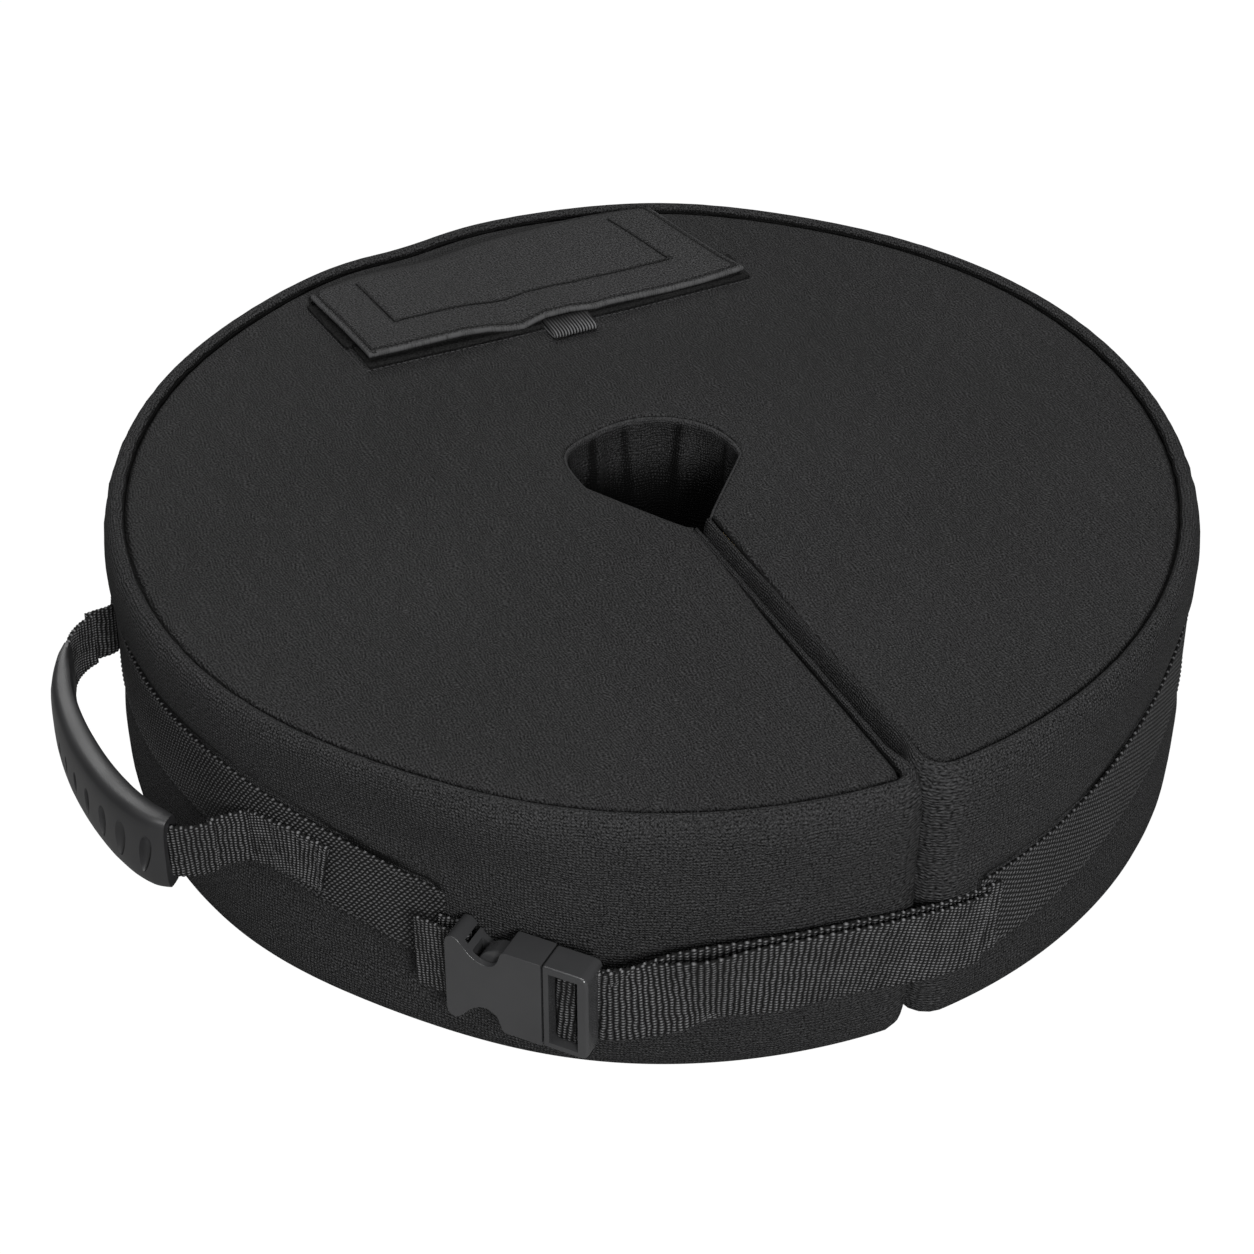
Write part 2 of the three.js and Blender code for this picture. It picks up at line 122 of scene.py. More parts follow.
def spaced(points, step):
    """The same path with even steps, and how far along it each point is."""
    p = np.asarray(points, float)
    run = np.concatenate([[0.0], np.cumsum(np.linalg.norm(np.diff(p, axis=0), axis=1))])
    at = np.linspace(0.0, run[-1], max(2, int(round(run[-1] / step)) + 1))
    return np.stack([np.interp(at, run, p[:, k]) for k in range(p.shape[1])], 1), at


def ripple(x, y, size, seed, z=0.0):
    """Smooth noise from -1 to 1 on arrays of places, size mm between bumps."""
    x, y, z = np.broadcast_arrays(np.asarray(x, float), y, z)
    flat = [
        noise.noise(Vector((a / size + seed, b / size - seed, c / size)))
        for a, b, c in zip(x.ravel(), y.ravel(), z.ravel())
    ]
    return np.array(flat).reshape(x.shape) * 1.6


def belt_height(angle):
    turned = turn(angle, -100.0)
    left = smooth(-turned, 22.0, 72.0)
    right = smooth(turned, 14.0, 60.0)
    return 46.5 + 29.5 * np.where(turned < 0, left, right)


def strap_height(angle):
    return BUCKLE_Z + 9.0 * smooth(angle, -121.0, -107.0) - 10.5 * smooth(angle, -100.0, -82.0)


def rim_sag(angle):
    """How much the rim stands over or under its mean height, round the bag."""
    return (
        -2.6 * bell(turn(angle, 95), 0, 4.5)
        - 1.6 * bell(turn(angle, 96), 0, 12)
        - 1.6 * bell(turn(angle, 120), 0, 9)
        + 1.6 * bell(turn(angle, 62), 0, 9)
        + 2.0 * bell(turn(angle, 12), 0, 20)
    )


def squeeze(p):
    """Pulls the side in where the belt and the buckle press on the sand."""
    r = np.hypot(p[..., 0], p[..., 1])
    angle = np.degrees(np.arctan2(p[..., 1], p[..., 0]))
    z = p[..., 2]
    low, high = 0.45 + 0.55 * np.clip(z, 0, 22) / 22, 1 - 0.7 * np.clip((z - 96) / 34, 0, 1)
    weight = np.where(z < 22, low, high)
    pull = PULL * weight * bell(turn(angle, PULL_AT), 0, PULL_SPREAD) * smooth(r, 120, 180) / np.maximum(r, 1)
    q = p.copy()
    q[..., :2] *= (1 - pull)[..., None]
    return q


# ---- outlines of the keyhole -----------------------------------------------------------------
def hole_outline():
    """The hole's edge, pulled out into a soft corner at its left and back."""
    angle = np.linspace(HOLE_FROM, HOLE_TO, 80)
    reach = HOLE_R + HOLE_CORNER_PULL * bell(angle, HOLE_CORNER_AT, HOLE_CORNER_SPREAD)
    arc = polar(angle, reach) + [HOLE_X, HOLE_Y]
    right = np.array([THROAT_RIGHT, (11.5, -35.5)])
    left = np.array([(-7.0, -42.5), THROAT_LEFT])
    return rounded(np.concatenate([right, arc, left]), 2)


def corner(x, radius, side):
    """The rounded corner of the seam where the slit meets the rim."""
    cx = x + side * radius
    cy = -math.sqrt((SEAM_R - radius) ** 2 - cx * cx)
    on_rim = math.degrees(math.atan2(cy, cx))
    sweep = np.linspace(-180.0, on_rim, 14) if side > 0 else np.linspace(on_rim, 0.0, 14)
    return polar(sweep, radius) + [cx, cy], on_rim


def rim_outline():
    right, start = corner(SLIT_RIGHT, CORNER_RIGHT, 1)
    left, end = corner(SLIT_LEFT, CORNER_LEFT, -1)
    arc = polar(np.linspace(start, end + 360.0, 700)[1:-1], SEAM_R)
    return np.concatenate([right, arc, left])


def ruled(columns, rows):
    """Places on the panel: columns go from one side of the slit round to the other, rows from hole to rim."""
    hole, hole_run = spaced(hole_outline(), 0.4)
    rim, rim_run = spaced(rim_outline(), 1.0)
    pick = lambda p, run, s: np.stack([np.interp(s * run[-1], run, p[:, k]) for k in (0, 1)], -1)
    inner, outer = pick(hole, hole_run, columns), pick(rim, rim_run, columns)
    t = rows[:, None, None]
    return (1 - t) * inner[None] + t * outer[None]


def near(points, *lines):
    """Distance from each point to the nearest of some lines of close points."""
    line = np.concatenate(lines)
    flat = points.reshape(-1, 2)
    gap = np.empty(len(flat))
    for i in range(0, len(flat), 2000):
        gap[i:i + 2000] = np.linalg.norm(flat[i:i + 2000, None] - line[None], axis=2).min(1)
    return gap.reshape(points.shape[:-1])


def panel_height(x, y):
    """The top panel's face away from its edges."""
    x, y = np.asarray(x, float), np.asarray(y, float)
    r = np.hypot(x, y)
    angle = np.degrees(np.arctan2(y, x))
    crown = 3.2 * (1 - smooth(r, 55, 126))
    return SEAM_Z + crown + rim_sag(angle) * smooth(r, 130, 214)


# ---- meshes ----------------------------------------------------------------------------------
def fractions(length, fine=(0, 0.35, 0.8, 1.4, 2.2, 3.4, 5.2, 8.0, 12.0), step=6.0):
    """Places from 0 to 1 over a length in mm, close together at both ends."""
    fine = np.array(fine)
    middle = np.linspace(fine[-1], length - fine[-1], max(2, int((length - 2 * fine[-1]) / step)))
    return np.concatenate([fine, middle[1:-1], length - fine[::-1]]) / length


def add_mesh(name, points, faces, uv=None, marks=None):
    """A new piece from points in mm about the bag's axis. uv has a place for each point, marks have numbers."""
    mesh = bpy.data.meshes.new(name)
    mesh.from_pydata((np.asarray(points) * 0.001 + AXIS).tolist(), [], faces)
    if uv is not None:
        layer = mesh.uv_layers.new(name="cloth")
        index = np.empty(len(mesh.loops), np.int32)
        mesh.loops.foreach_get("vertex_index", index)
        layer.data.foreach_set("uv", np.asarray(uv, np.float32)[index].ravel())
    for key, values in (marks or {}).items():
        mark = mesh.attributes.new(key, "FLOAT", "POINT")
        mark.data.foreach_set("value", np.asarray(values, np.float32).ravel())
    obj = link(name, mesh)
    outward(obj)
    mesh.shade_smooth()
    return obj


def link(name, data):
    obj = bpy.data.objects.new(name, data)
    bpy.context.scene.collection.objects.link(obj)
    return obj


def outward(obj):
    bm = bmesh.new()
    bm.from_mesh(obj.data)
    bmesh.ops.recalc_face_normals(bm, faces=bm.faces)
    bm.to_mesh(obj.data)
    bm.free()


def loop_faces(rows, cols, capped=True):
    """Faces of a tube: rows of points go round and close on themselves, columns run along it."""
    index = np.arange(rows * cols).reshape(rows, cols)
    nxt = np.roll(index, -1, axis=0)
    quads = np.stack([index[:, :-1], index[:, 1:], nxt[:, 1:], nxt[:, :-1]], -1).reshape(-1, 4)
    faces = [tuple(q) for q in quads.tolist()]
    if capped:
        faces += [tuple(index[::-1, 0].tolist()), tuple(index[:, -1].tolist())]
    return faces


def tube(name, places, uv, marks=None):
    """A closed piece from rows of places, each row joined to the next and the last to the first."""
    return add_mesh(name, places.reshape(-1, 3), loop_faces(*places.shape[:2]), uv.reshape(-1, 2), marks)


def skin(name, top, thick, uv, marks, lip, down):
    """A closed sheet under a grid of places: its underside is thick mm along down, its edge rounded by lip."""
    rows, cols = top.shape[:2]
    upper = np.arange(rows * cols).reshape(rows, cols)
    lower = upper + rows * cols
    edge = np.concatenate([upper[0, :-1], upper[:-1, -1], upper[-1, :0:-1], upper[:0:-1, 0]])
    inside = np.concatenate([upper[1, :-1], upper[:-1, -2], upper[-2, :0:-1], upper[:0:-1, 1]])
    flat_top, flat_under = top.reshape(-1, 3), (top + down * thick).reshape(-1, 3)
    away = unit(flat_top[edge] - flat_top[inside])
    rim = 0.5 * (flat_top[edge] + flat_under[edge]) + away * lip
    points = np.concatenate([flat_top, flat_under, rim])
    lip_index = np.arange(len(edge)) + 2 * rows * cols
    quads = [
        np.stack([g[:-1, :-1], g[:-1, 1:], g[1:, 1:], g[1:, :-1]], -1).reshape(-1, 4) for g in (upper, lower)
    ]
    quads[1] = quads[1][:, ::-1]
    nxt, lip_next = np.roll(edge, -1), np.roll(lip_index, -1)
    quads.append(np.stack([edge, lip_index, lip_next, nxt], -1))
    quads.append(np.stack([lip_index, edge + rows * cols, nxt + rows * cols, lip_next], -1))
    faces = [tuple(q) for q in np.concatenate(quads).tolist()]
    three = lambda flat: np.concatenate([flat, flat, flat[edge]])
    all_marks = {key: three(value.ravel()) for key, value in marks.items()}
    return add_mesh(name, points, faces, three(uv.reshape(-1, 2)), all_marks)


def laid(name, x, y, z, thick, lip, marks, shift=0.0):
    """A skin that lies face up, its cloth's pattern moved on by shift."""
    down = np.zeros((*x.shape, 3))
    down[..., 2] = -1.0
    return skin(name, np.stack([x, y, z], -1), thick, np.stack([x, y + shift], -1), marks, lip, down)


def ribbon(name, path, out, width, thick, step, across, wave=0.0, seed=0.0):
    """Webbing along a path: out is the unit direction its face looks in at each point."""
    path, run = spaced(path, step)
    count = len(path)
    at, given = np.linspace(0, 1, count), np.linspace(0, 1, len(out))
    out = np.stack([np.interp(at, given, out[:, k]) for k in range(3)], 1)
    ahead = unit(np.gradient(path, axis=0))
    side = unit(np.cross(ahead, out))
    out = unit(np.cross(side, ahead))
    half = np.linspace(-width / 2 + thick * 0.25, width / 2 - thick * 0.25, across)
    section = [(a, thick / 2) for a in half] + [(width / 2, 0.0)]
    section += [(a, -thick / 2) for a in half[::-1]] + [(-width / 2, 0.0)]
    section = np.array(section)
    sway = np.zeros(count) if wave == 0 else wave * ripple(run, 0.0, 9.0, seed)
    edge = np.abs(section[:, 0]) / (width / 2)
    places = (
        path[None]
        + side[None] * (section[:, 0:1, None] + (sway[None, :, None] * edge[:, None, None] ** 3))
        + out[None] * section[:, 1:2, None]
    )
    along = np.broadcast_to(run[None], (len(section), count))
    wide = np.broadcast_to(section[:, 0:1], along.shape)
    return tube(name, places, np.stack([along, wide], -1), {"along": along, "across": wide})


# ---- node trees ------------------------------------------------------------------------------
class Wiring:
    """Adds nodes to a tree, and links or sets their inputs."""

    def __init__(self, tree):
        self.tree = tree

    def add(self, kind, inputs=None, **settings):
        node = self.tree.nodes.new(kind)
        for key, value in settings.items():
            setattr(node, key, value)
        for key, value in (inputs or {}).items():
            self.feed(node.inputs[key], value)
        return node

    def feed(self, socket, value):
        if isinstance(value, bpy.types.NodeSocket):
            self.tree.links.new(value, socket)
        else:
            socket.default_value = value

    def math(self, operation, *values):
        node = self.add("ShaderNodeMath", operation=operation)
        for socket, value in zip(node.inputs, values):
            self.feed(socket, value)
        return node.outputs[0]

    def times(self, *values):
        return self.math("MULTIPLY", *values)

    def plus(self, *values):
        return self.math("ADD", *values)

    def minus(self, *values):
        return self.math("SUBTRACT", *values)

    def noise(self, place, scale, detail):
        return self.add("ShaderNodeTexNoise", {"Vector": place, "Scale": scale, "Detail": detail}).outputs

    def place(self):
        return self.add("ShaderNodeTexCoord").outputs["Object"]

    def mix(self, factor, low, high):
        """low where factor is 0, high where it is 1."""
        return self.math("MULTIPLY_ADD", self.minus(high, low), factor, low)

    def close(self, geometry, material, socket):
        """The end of every geometry tree: real meshes with their material."""
        real = self.add("GeometryNodeRealizeInstances", {"Geometry": geometry})
        painted = self.add("GeometryNodeSetMaterial", {"Geometry": real.outputs[0], "Material": material})
        self.feed(socket, painted.outputs[0])


FLOAT, VECTOR, SHAPE, PAINT = (f"NodeSocket{kind}" for kind in ("Float", "Vector", "Geometry", "Material"))


def node_group(name, inputs, *outputs, kind="ShaderNodeTree", gives=FLOAT):
    """An empty group and its wiring: inputs has (type, default) by name, and its outputs are of one type."""
    group = bpy.data.node_groups.new(name, kind)
    for key, (socket, default) in inputs.items():
        made = group.interface.new_socket(key, in_out="INPUT", socket_type=socket)
        if default is not None:
            made.default_value = default
    for key in outputs:
        group.interface.new_socket(key, in_out="OUTPUT", socket_type=gives)
    wires = Wiring(group)
    return group, wires, wires.add("NodeGroupInput").outputs, wires.add("NodeGroupOutput").inputs


def oxford_group():
    """Plain weave of coarse polyester yarn: crossed threads that wander. Its tone has painted shade between the
    yarns, painted highlight on their tops and a painted glint here and there.
    """
    inputs = {
        "Cloth": (VECTOR, None), "Pitch": (FLOAT, 1.2), "Wander": (FLOAT, 0.6), "Lengthways": (FLOAT, 0.5),
    }
    group, w, given, put = node_group("Oxford weave", inputs, "Height", "Tone")
    drift = w.add("ShaderNodeSeparateColor", {"Color": w.noise(given["Cloth"], 0.11, 1.0)["Color"]})
    place = w.add("ShaderNodeSeparateXYZ", {"Vector": given["Cloth"]})
    waves = []
    for axis, part in (("X", "Red"), ("Y", "Green")):
        shift = w.minus(drift.outputs[part], 0.5)
        turns = w.times(w.math("DIVIDE", place.outputs[axis], given["Pitch"]), 2 * math.pi)
        phase = w.plus(turns, w.times(w.times(shift, given["Wander"]), 34.0))
        waves.append(w.math("SINE", phase))
    crossed = w.times(waves[0], waves[1])
    threads = w.mix(given["Lengthways"], waves[0], waves[1])
    height = w.plus(w.times(crossed, 0.35), w.times(threads, 0.65))
    fleck = w.noise(given["Cloth"], 1.1, 1.0)["Fac"]
    glint = w.times(w.minus(fleck, 0.5), 2.0)
    w.feed(put["Height"], height)
    # Painted shade and highlight: the tone is darker in the gaps between yarns and lighter on their tops, with
    # painted glints.
    w.feed(put["Tone"], w.plus(w.math("MULTIPLY_ADD", height, 0.42, 0.45), glint))
    return group


def webbing_group():
    """Woven tape: ribs across it, each a row of beads, with the rows half a bead apart."""
    inputs = {"Cloth": (VECTOR, None), "Rib": (FLOAT, 2.2), "Bead": (FLOAT, 1.3), "Slant": (FLOAT, 0.1)}
    group, w, given, put = node_group("Webbing yarn", inputs, "Height", "Bead")
    drift = w.noise(given["Cloth"], 0.22, 1.0)["Fac"]
    bend = w.times(w.minus(drift, 0.5), 1.6)
    place = w.add("ShaderNodeSeparateXYZ", {"Vector": given["Cloth"]})
    lean = w.math("MULTIPLY_ADD", place.outputs["Y"], given["Slant"], place.outputs["X"])
    ribs = w.math("DIVIDE", w.plus(lean, bend), given["Rib"])
    step = w.times(w.math("FLOOR", ribs), 0.5)
    rib = w.math("SINE", w.times(w.math("FRACT", ribs), math.pi))
    beads = w.plus(w.math("DIVIDE", place.outputs["Y"], given["Bead"]), step)
    bead = w.math("SINE", w.times(w.math("FRACT", beads), math.pi))
    both = w.times(rib, bead)
    w.feed(put["Height"], both)
    # Painted highlight: the second output is bright on each bead's top and dark in the valleys between, as
    # painted shade.
    w.feed(put["Bead"], w.math("POWER", w.math("MAXIMUM", both, 0.0), 2.6))
    return group


def dust_group():
    """Slow changes of tone over a surface, and fine lint."""
    inputs = {"Place": (VECTOR, None), "Size": (FLOAT, 12.0), "Lint": (FLOAT, 0.1)}
    group, w, given, put = node_group("Dust and lint", inputs, "Cloud", "Speck")
    fine = w.noise(given["Place"], 900.0, 1.0)["Fac"]
    w.feed(put["Cloud"], w.noise(given["Place"], given["Size"], 3.0)["Fac"])
    w.feed(put["Speck"], w.times(w.math("GREATER_THAN", fine, 0.74), given["Lint"]))
    return group


def grain_group():
    """Fine pitted grain of moulded plastic or rubber."""
    inputs = {"Place": (VECTOR, None), "Scale": (FLOAT, 900.0)}
    group, w, given, put = node_group("Moulded grain", inputs, "Height", "Cloud")
    w.feed(put["Height"], w.noise(given["Place"], given["Scale"], 3.0)["Fac"])
    w.feed(put["Cloud"], w.noise(given["Place"], 35.0, 2.0)["Fac"])
    return group


GROUPS, TREES, MATERIALS = {}, {}, {}


def new_material(name, roughness, specular=0.5):
    material = bpy.data.materials.new(name)
    material.use_nodes = True
    shader = material.node_tree.nodes["Principled BSDF"]
    shader.inputs["Roughness"].default_value = roughness
    shader.inputs["Specular IOR Level"].default_value = specular
    return material, Wiring(material.node_tree), shader


def dress(w, shader, tone, colour, contrast, height, relief, depth):
    """Colours a surface from its tone, and raises it by its height."""
    w.feed(shader.inputs["Base Color"], tone_to_colour(w, tone, colour, *contrast))
    bump = w.add("ShaderNodeBump", {"Height": height, "Strength": relief, "Distance": depth})
    w.feed(shader.inputs["Normal"], bump.outputs[0])


def place_group(w, key, inputs):
    return w.add("ShaderNodeGroup", inputs, node_tree=GROUPS[key]).outputs


def tone_to_colour(w, tone, colour, low, high):
    """The colour, darker or lighter by a factor from low to high as tone goes from 0 to 1."""
    ramp = w.add("ShaderNodeMix", data_type="RGBA", clamp_factor=True)
    w.feed(ramp.inputs["Factor"], tone)
    w.feed(ramp.inputs["A"], (*[c * low for c in colour], 1))
    w.feed(ramp.inputs["B"], (*[c * high for c in colour], 1))
    return ramp.outputs["Result"]


def cloth_material(name, colour, pitch, wander, lengthways, relief=0.7, contrast=(0.08, 2.2)):
    material, w, shader = new_material(name, 0.82, 0.2)
    uv = w.add("ShaderNodeUVMap", uv_map="cloth").outputs[0]
    weave = place_group(w, "oxford", {"Cloth": uv, "Pitch": pitch, "Wander": wander, "Lengthways": lengthways})
    dust = place_group(w, "dust", {"Place": w.place(), "Size": 9.0, "Lint": 0.25})
    # Painted shade: this mark darkens seams, stitch grooves, fold lines and the deep hole; where it is below
    # zero it paints a highlight instead.
    painted_shading = w.add("ShaderNodeAttribute", attribute_name="painted_shading").outputs["Fac"]
    slow = w.times(w.minus(dust["Cloud"], 0.5), 0.22)
    tone = w.plus(w.plus(weave["Tone"], slow), dust["Speck"])
    tone = w.minus(tone, w.times(painted_shading, 1.5))
    dress(w, shader, tone, colour, contrast, weave["Height"], relief, 0.0006)
    return material


def webbing_material(name, colour, rib, bead, slant, contrast=(0.03, 11.0)):
    material, w, shader = new_material(name, 0.7, 0.3)
    uv = w.add("ShaderNodeUVMap", uv_map="cloth").outputs[0]
    yarn = place_group(w, "webbing", {"Cloth": uv, "Rib": rib, "Bead": bead, "Slant": slant})
    dust = place_group(w, "dust", {"Place": w.place(), "Size": 25.0, "Lint": 0.15})
    # Painted highlight on the bead tops and painted shade in the valleys, with slow changes of tone.
    tone = w.times(yarn["Bead"], w.math("MULTIPLY_ADD", dust["Cloud"], 0.9, 0.5))
    dress(w, shader, w.plus(tone, dust["Speck"]), colour, contrast, yarn["Height"], 1.0, 0.0006)
    return material


def moulded_material(name, colour, roughness, grain_scale, relief):
    material, w, shader = new_material(name, roughness, 0.7)
    grain = place_group(w, "grain", {"Place": w.place(), "Scale": grain_scale})
    w.feed(shader.inputs["Roughness"], w.math("MULTIPLY_ADD", grain["Cloud"], 0.16, roughness - 0.08))
    dress(w, shader, grain["Cloud"], colour, (0.75, 1.25), grain["Height"], relief, 0.0002)
    return material


def tape_material(name, colour, pile):
    """Touch tape: a dense field of tiny hooks or loops."""
    material, w, shader = new_material(name, 0.92, 0.2)
    place = w.place()
    tufts = w.add("ShaderNodeTexVoronoi", {"Vector": place, "Scale": pile}).outputs["Distance"]
    height = w.minus(w.noise(place, pile * 1.7, 2.0)["Fac"], tufts)
    dress(w, shader, w.plus(height, 0.4), colour, (0.3, 1.8), height, 0.9, 0.0008)
    return material


def thread_material(name, colour):
    """Twisted sewing thread: fine bands of light and shade along each stitch."""
    material, w, shader = new_material(name, 0.6, 0.3)
    twist = w.noise(w.place(), 2600.0, 1.0)["Fac"]
    dress(w, shader, twist, colour, (0.5, 1.5), twist, 0.3, 0.0002)
    return material


def sand_material(name, colour):
    material, w, shader = new_material(name, 0.95)
    grains = w.add("ShaderNodeTexVoronoi", {"Vector": w.place(), "Scale": 1300.0}).outputs["Distance"]
    dress(w, shader, w.math("MULTIPLY_ADD", grains, -0.6, 0.8), colour, (0.4, 1.3), grains, 0.8, 0.0006)
    return material


def stitch_tree():
    """Stitches along a thread line: short capsules end to end, half sunk in the cloth."""
    inputs = {
        "Line": (SHAPE, None), "Pitch": (FLOAT, 0.003), "Length": (FLOAT, 0.0022), "Thread": (FLOAT, 0.00035),
        "Material": (PAINT, None),
    }
    tree, w, given, put = node_group("Stitch line", inputs, "Stitches", kind="GeometryNodeTree", gives=SHAPE)
    curve = w.add("GeometryNodeMeshToCurve", {"Mesh": given["Line"]}).outputs["Curve"]
    count = w.add("GeometryNodeResampleCurve", {"Curve": curve, "Length": given["Pitch"]}, mode="LENGTH")
    ball = w.add("GeometryNodeMeshUVSphere", {"Segments": 6, "Rings": 5, "Radius": 1.0})
    thick = w.add("ShaderNodeCombineXYZ", {"X": given["Thread"], "Y": given["Thread"]})
    w.feed(thick.inputs["Z"], w.times(given["Length"], 0.5))
    tangent = w.add("GeometryNodeInputTangent").outputs[0]
    aim = w.add("FunctionNodeAlignRotationToVector", {"Vector": tangent}, axis="Z")
    dots = w.add("GeometryNodeInstanceOnPoints", {"Points": count.outputs[0], "Instance": ball.outputs["Mesh"]})
    w.feed(dots.inputs["Rotation"], aim.outputs[0])
    w.feed(dots.inputs["Scale"], thick.outputs[0])
    soft = w.add("GeometryNodeSetShadeSmooth", {"Geometry": dots.outputs[0]})
    w.close(soft.outputs[0], given["Material"], put["Stitches"])
    return tree


def rib_tree():
    """Raises the woven ribs of a tape, from the marks along and across it."""
    inputs = {
        "Tape": (SHAPE, None), "Pitch": (FLOAT, 2.2), "Relief": (FLOAT, 0.0003), "Slant": (FLOAT, 0.1),
        "Seed": (FLOAT, 3.0), "Material": (PAINT, None),
    }
    tree, w, given, put = node_group("Webbing ribs", inputs, "Webbing", kind="GeometryNodeTree", gives=SHAPE)
    along, across = (
        w.add("GeometryNodeInputNamedAttribute", {"Name": key}, data_type="FLOAT").outputs[0]
        for key in ("along", "across")
    )
    lean = w.math("MULTIPLY_ADD", across, given["Slant"], along)
    drift = w.add("ShaderNodeTexNoise", {"Scale": 0.12, "W": given["Seed"]}, noise_dimensions="4D")
    spot = w.add("ShaderNodeCombineXYZ", {"X": along, "Y": across})
    w.feed(drift.inputs["Vector"], spot.outputs[0])
    bend = w.times(w.minus(drift.outputs["Fac"], 0.5), 2.4)
    turns = w.times(w.math("DIVIDE", w.plus(lean, bend), given["Pitch"]), math.pi)
    rib = w.math("ABSOLUTE", w.math("SINE", turns))
    lift = w.times(w.minus(rib, 0.6), given["Relief"])
    normal = w.add("GeometryNodeInputNormal").outputs[0]
    offset = w.add("ShaderNodeVectorMath", {0: normal}, operation="SCALE")
    w.feed(offset.inputs["Scale"], lift)
    moved = w.add("GeometryNodeSetPosition", {"Geometry": given["Tape"], "Offset": offset.outputs[0]})
    w.close(moved.outputs[0], given["Material"], put["Webbing"])
    return tree


def run_tree(obj, tree, values):
    """Runs a tree on obj with those inputs, and keeps its result as obj's plain mesh."""
    modifier = obj.modifiers.new(tree.name, "NODES")
    modifier.node_group = tree
    for item in tree.interface.items_tree:
        if item.item_type == "SOCKET" and item.in_out == "INPUT" and item.name in values:
            modifier[item.identifier] = values[item.name]
    bake(obj)


def raise_ribs(obj, pitch, relief, slant, material):
    run_tree(obj, TREES["rib"], {"Pitch": pitch, "Relief": relief, "Slant": slant, "Material": look(material)})


def bake(obj):
    """The evaluated mesh becomes obj's own, and its modifiers go."""
    graph = bpy.context.evaluated_depsgraph_get()
    worked = obj.evaluated_get(graph)
    mesh = bpy.data.meshes.new_from_object(worked, preserve_all_data_layers=True, depsgraph=graph)
    obj.modifiers.clear()
    obj.data = mesh


def stitches(name, lines, body, slot, pitch, length, thread, yarn="thread"):
    """One piece with every thread line given, each a path in mm about the bag's axis."""
    points, edges = [], []
    for line in lines:
        line, _ = spaced(line, 1.0)
        first = sum(len(p) for p in points)
        points.append(line)
        edges += [(first + i, first + i + 1) for i in range(len(line) - 1)]
    mesh = bpy.data.meshes.new(name)
    mesh.from_pydata((np.concatenate(points) * 0.001 + AXIS).tolist(), edges, [])
    obj = link(name, mesh)
    values = {"Pitch": pitch / 1000, "Length": length / 1000, "Thread": thread / 1000, "Material": look(yarn)}
    run_tree(obj, TREES["stitch"], values)
    finish(obj, body, slot)


def look(name):
    return MATERIALS[name]


def finish(obj, body, slot, material=None, *nodes):
    if material:
        obj.data.materials.clear()
        obj.data.materials.append(look(material))
    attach(obj, body)
    if nodes:
        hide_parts(*nodes)


def combine(obj, other, operation="DIFFERENCE"):
    """Takes other out of obj, or joins it on, and removes other."""
    modifier = obj.modifiers.new("combine", "BOOLEAN")
    modifier.operation, modifier.solver, modifier.object = operation, "EXACT", other
    bake(obj)
    bpy.data.objects.remove(other)


def prism(name, low, high):
    """A block between two rings of points."""
    n = len(low)
    faces = [(i, (i + 1) % n, (i + 1) % n + n, i + n) for i in range(n)]
    faces += [tuple(range(n))[::-1], tuple(range(n, 2 * n))]
    return add_mesh(name, np.concatenate([low, high]), faces)


def mm(value):
    return value * 1000.0


# ---- what a user may change ------------------------------------------------------------------
def distance(name, description, default, least):
    return FloatProperty(name=name, description=description, default=default, min=least, unit="LENGTH")


def shade(name, description, *default):
    return FloatVectorProperty(
        name=name, description=description, subtype="COLOR", default=default, min=0, max=1
    )


class SandbagCloth(bpy.types.PropertyGroup):
    weave_pitch: distance("Weave pitch", "Distance between two yarns of the Oxford cloth", 0.00125, 0.0004)
    panel_colour: shade("Top cloth", "Colour of the top panel and the flap", 0.0252, 0.0252, 0.0256)
    wall_colour: shade("Side cloth", "Colour of the side, the base and the hole liner", 0.0235, 0.0235, 0.0240)
    cloth_thickness: distance("Cloth thickness", "Thickness of one layer of cloth", 0.0012, 0.0005)


class SandbagWebbing(bpy.types.PropertyGroup):
    belt_width: distance("Belt width", "Width of the sewn belt", 0.038, 0.01)
    strap_width: distance("Strap width", "Width of the closing strap", 0.034, 0.01)
    handle_width: distance("Handle width", "Width of the handle webbing", 0.025, 0.01)
    rib_pitch: distance("Rib pitch", "Distance between two ribs of the strap", 0.0023, 0.001)
    colour: shade("Webbing", "Colour of the webbing yarn", 0.0195, 0.0195, 0.0199)


class SandbagHardware(bpy.types.PropertyGroup):
    buckle_colour: shade("Buckle", "Colour of the buckle's plastic", 0.042, 0.0423, 0.0437)
    grip_colour: shade("Grip", "Colour of the grip's rubber", 0.020, 0.020, 0.021)
    sand_colour: shade("Sand", "Colour of the filling", 0.53, 0.40, 0.21)
    grip_width: distance("Grip width", "Height of the grip at its widest", 0.032, 0.02)


class SandbagPiece(bpy.types.Operator):
    """What every piece's operator shares."""

    bl_options = {"REGISTER", "UNDO"}

    @classmethod
    def poll(cls, context):
        return context.scene is not None

    def execute(self, context):
        self.make(context.scene.sandbag_cloth, context.scene.sandbag_webbing, context.scene.sandbag_hardware)
        return {"FINISHED"}


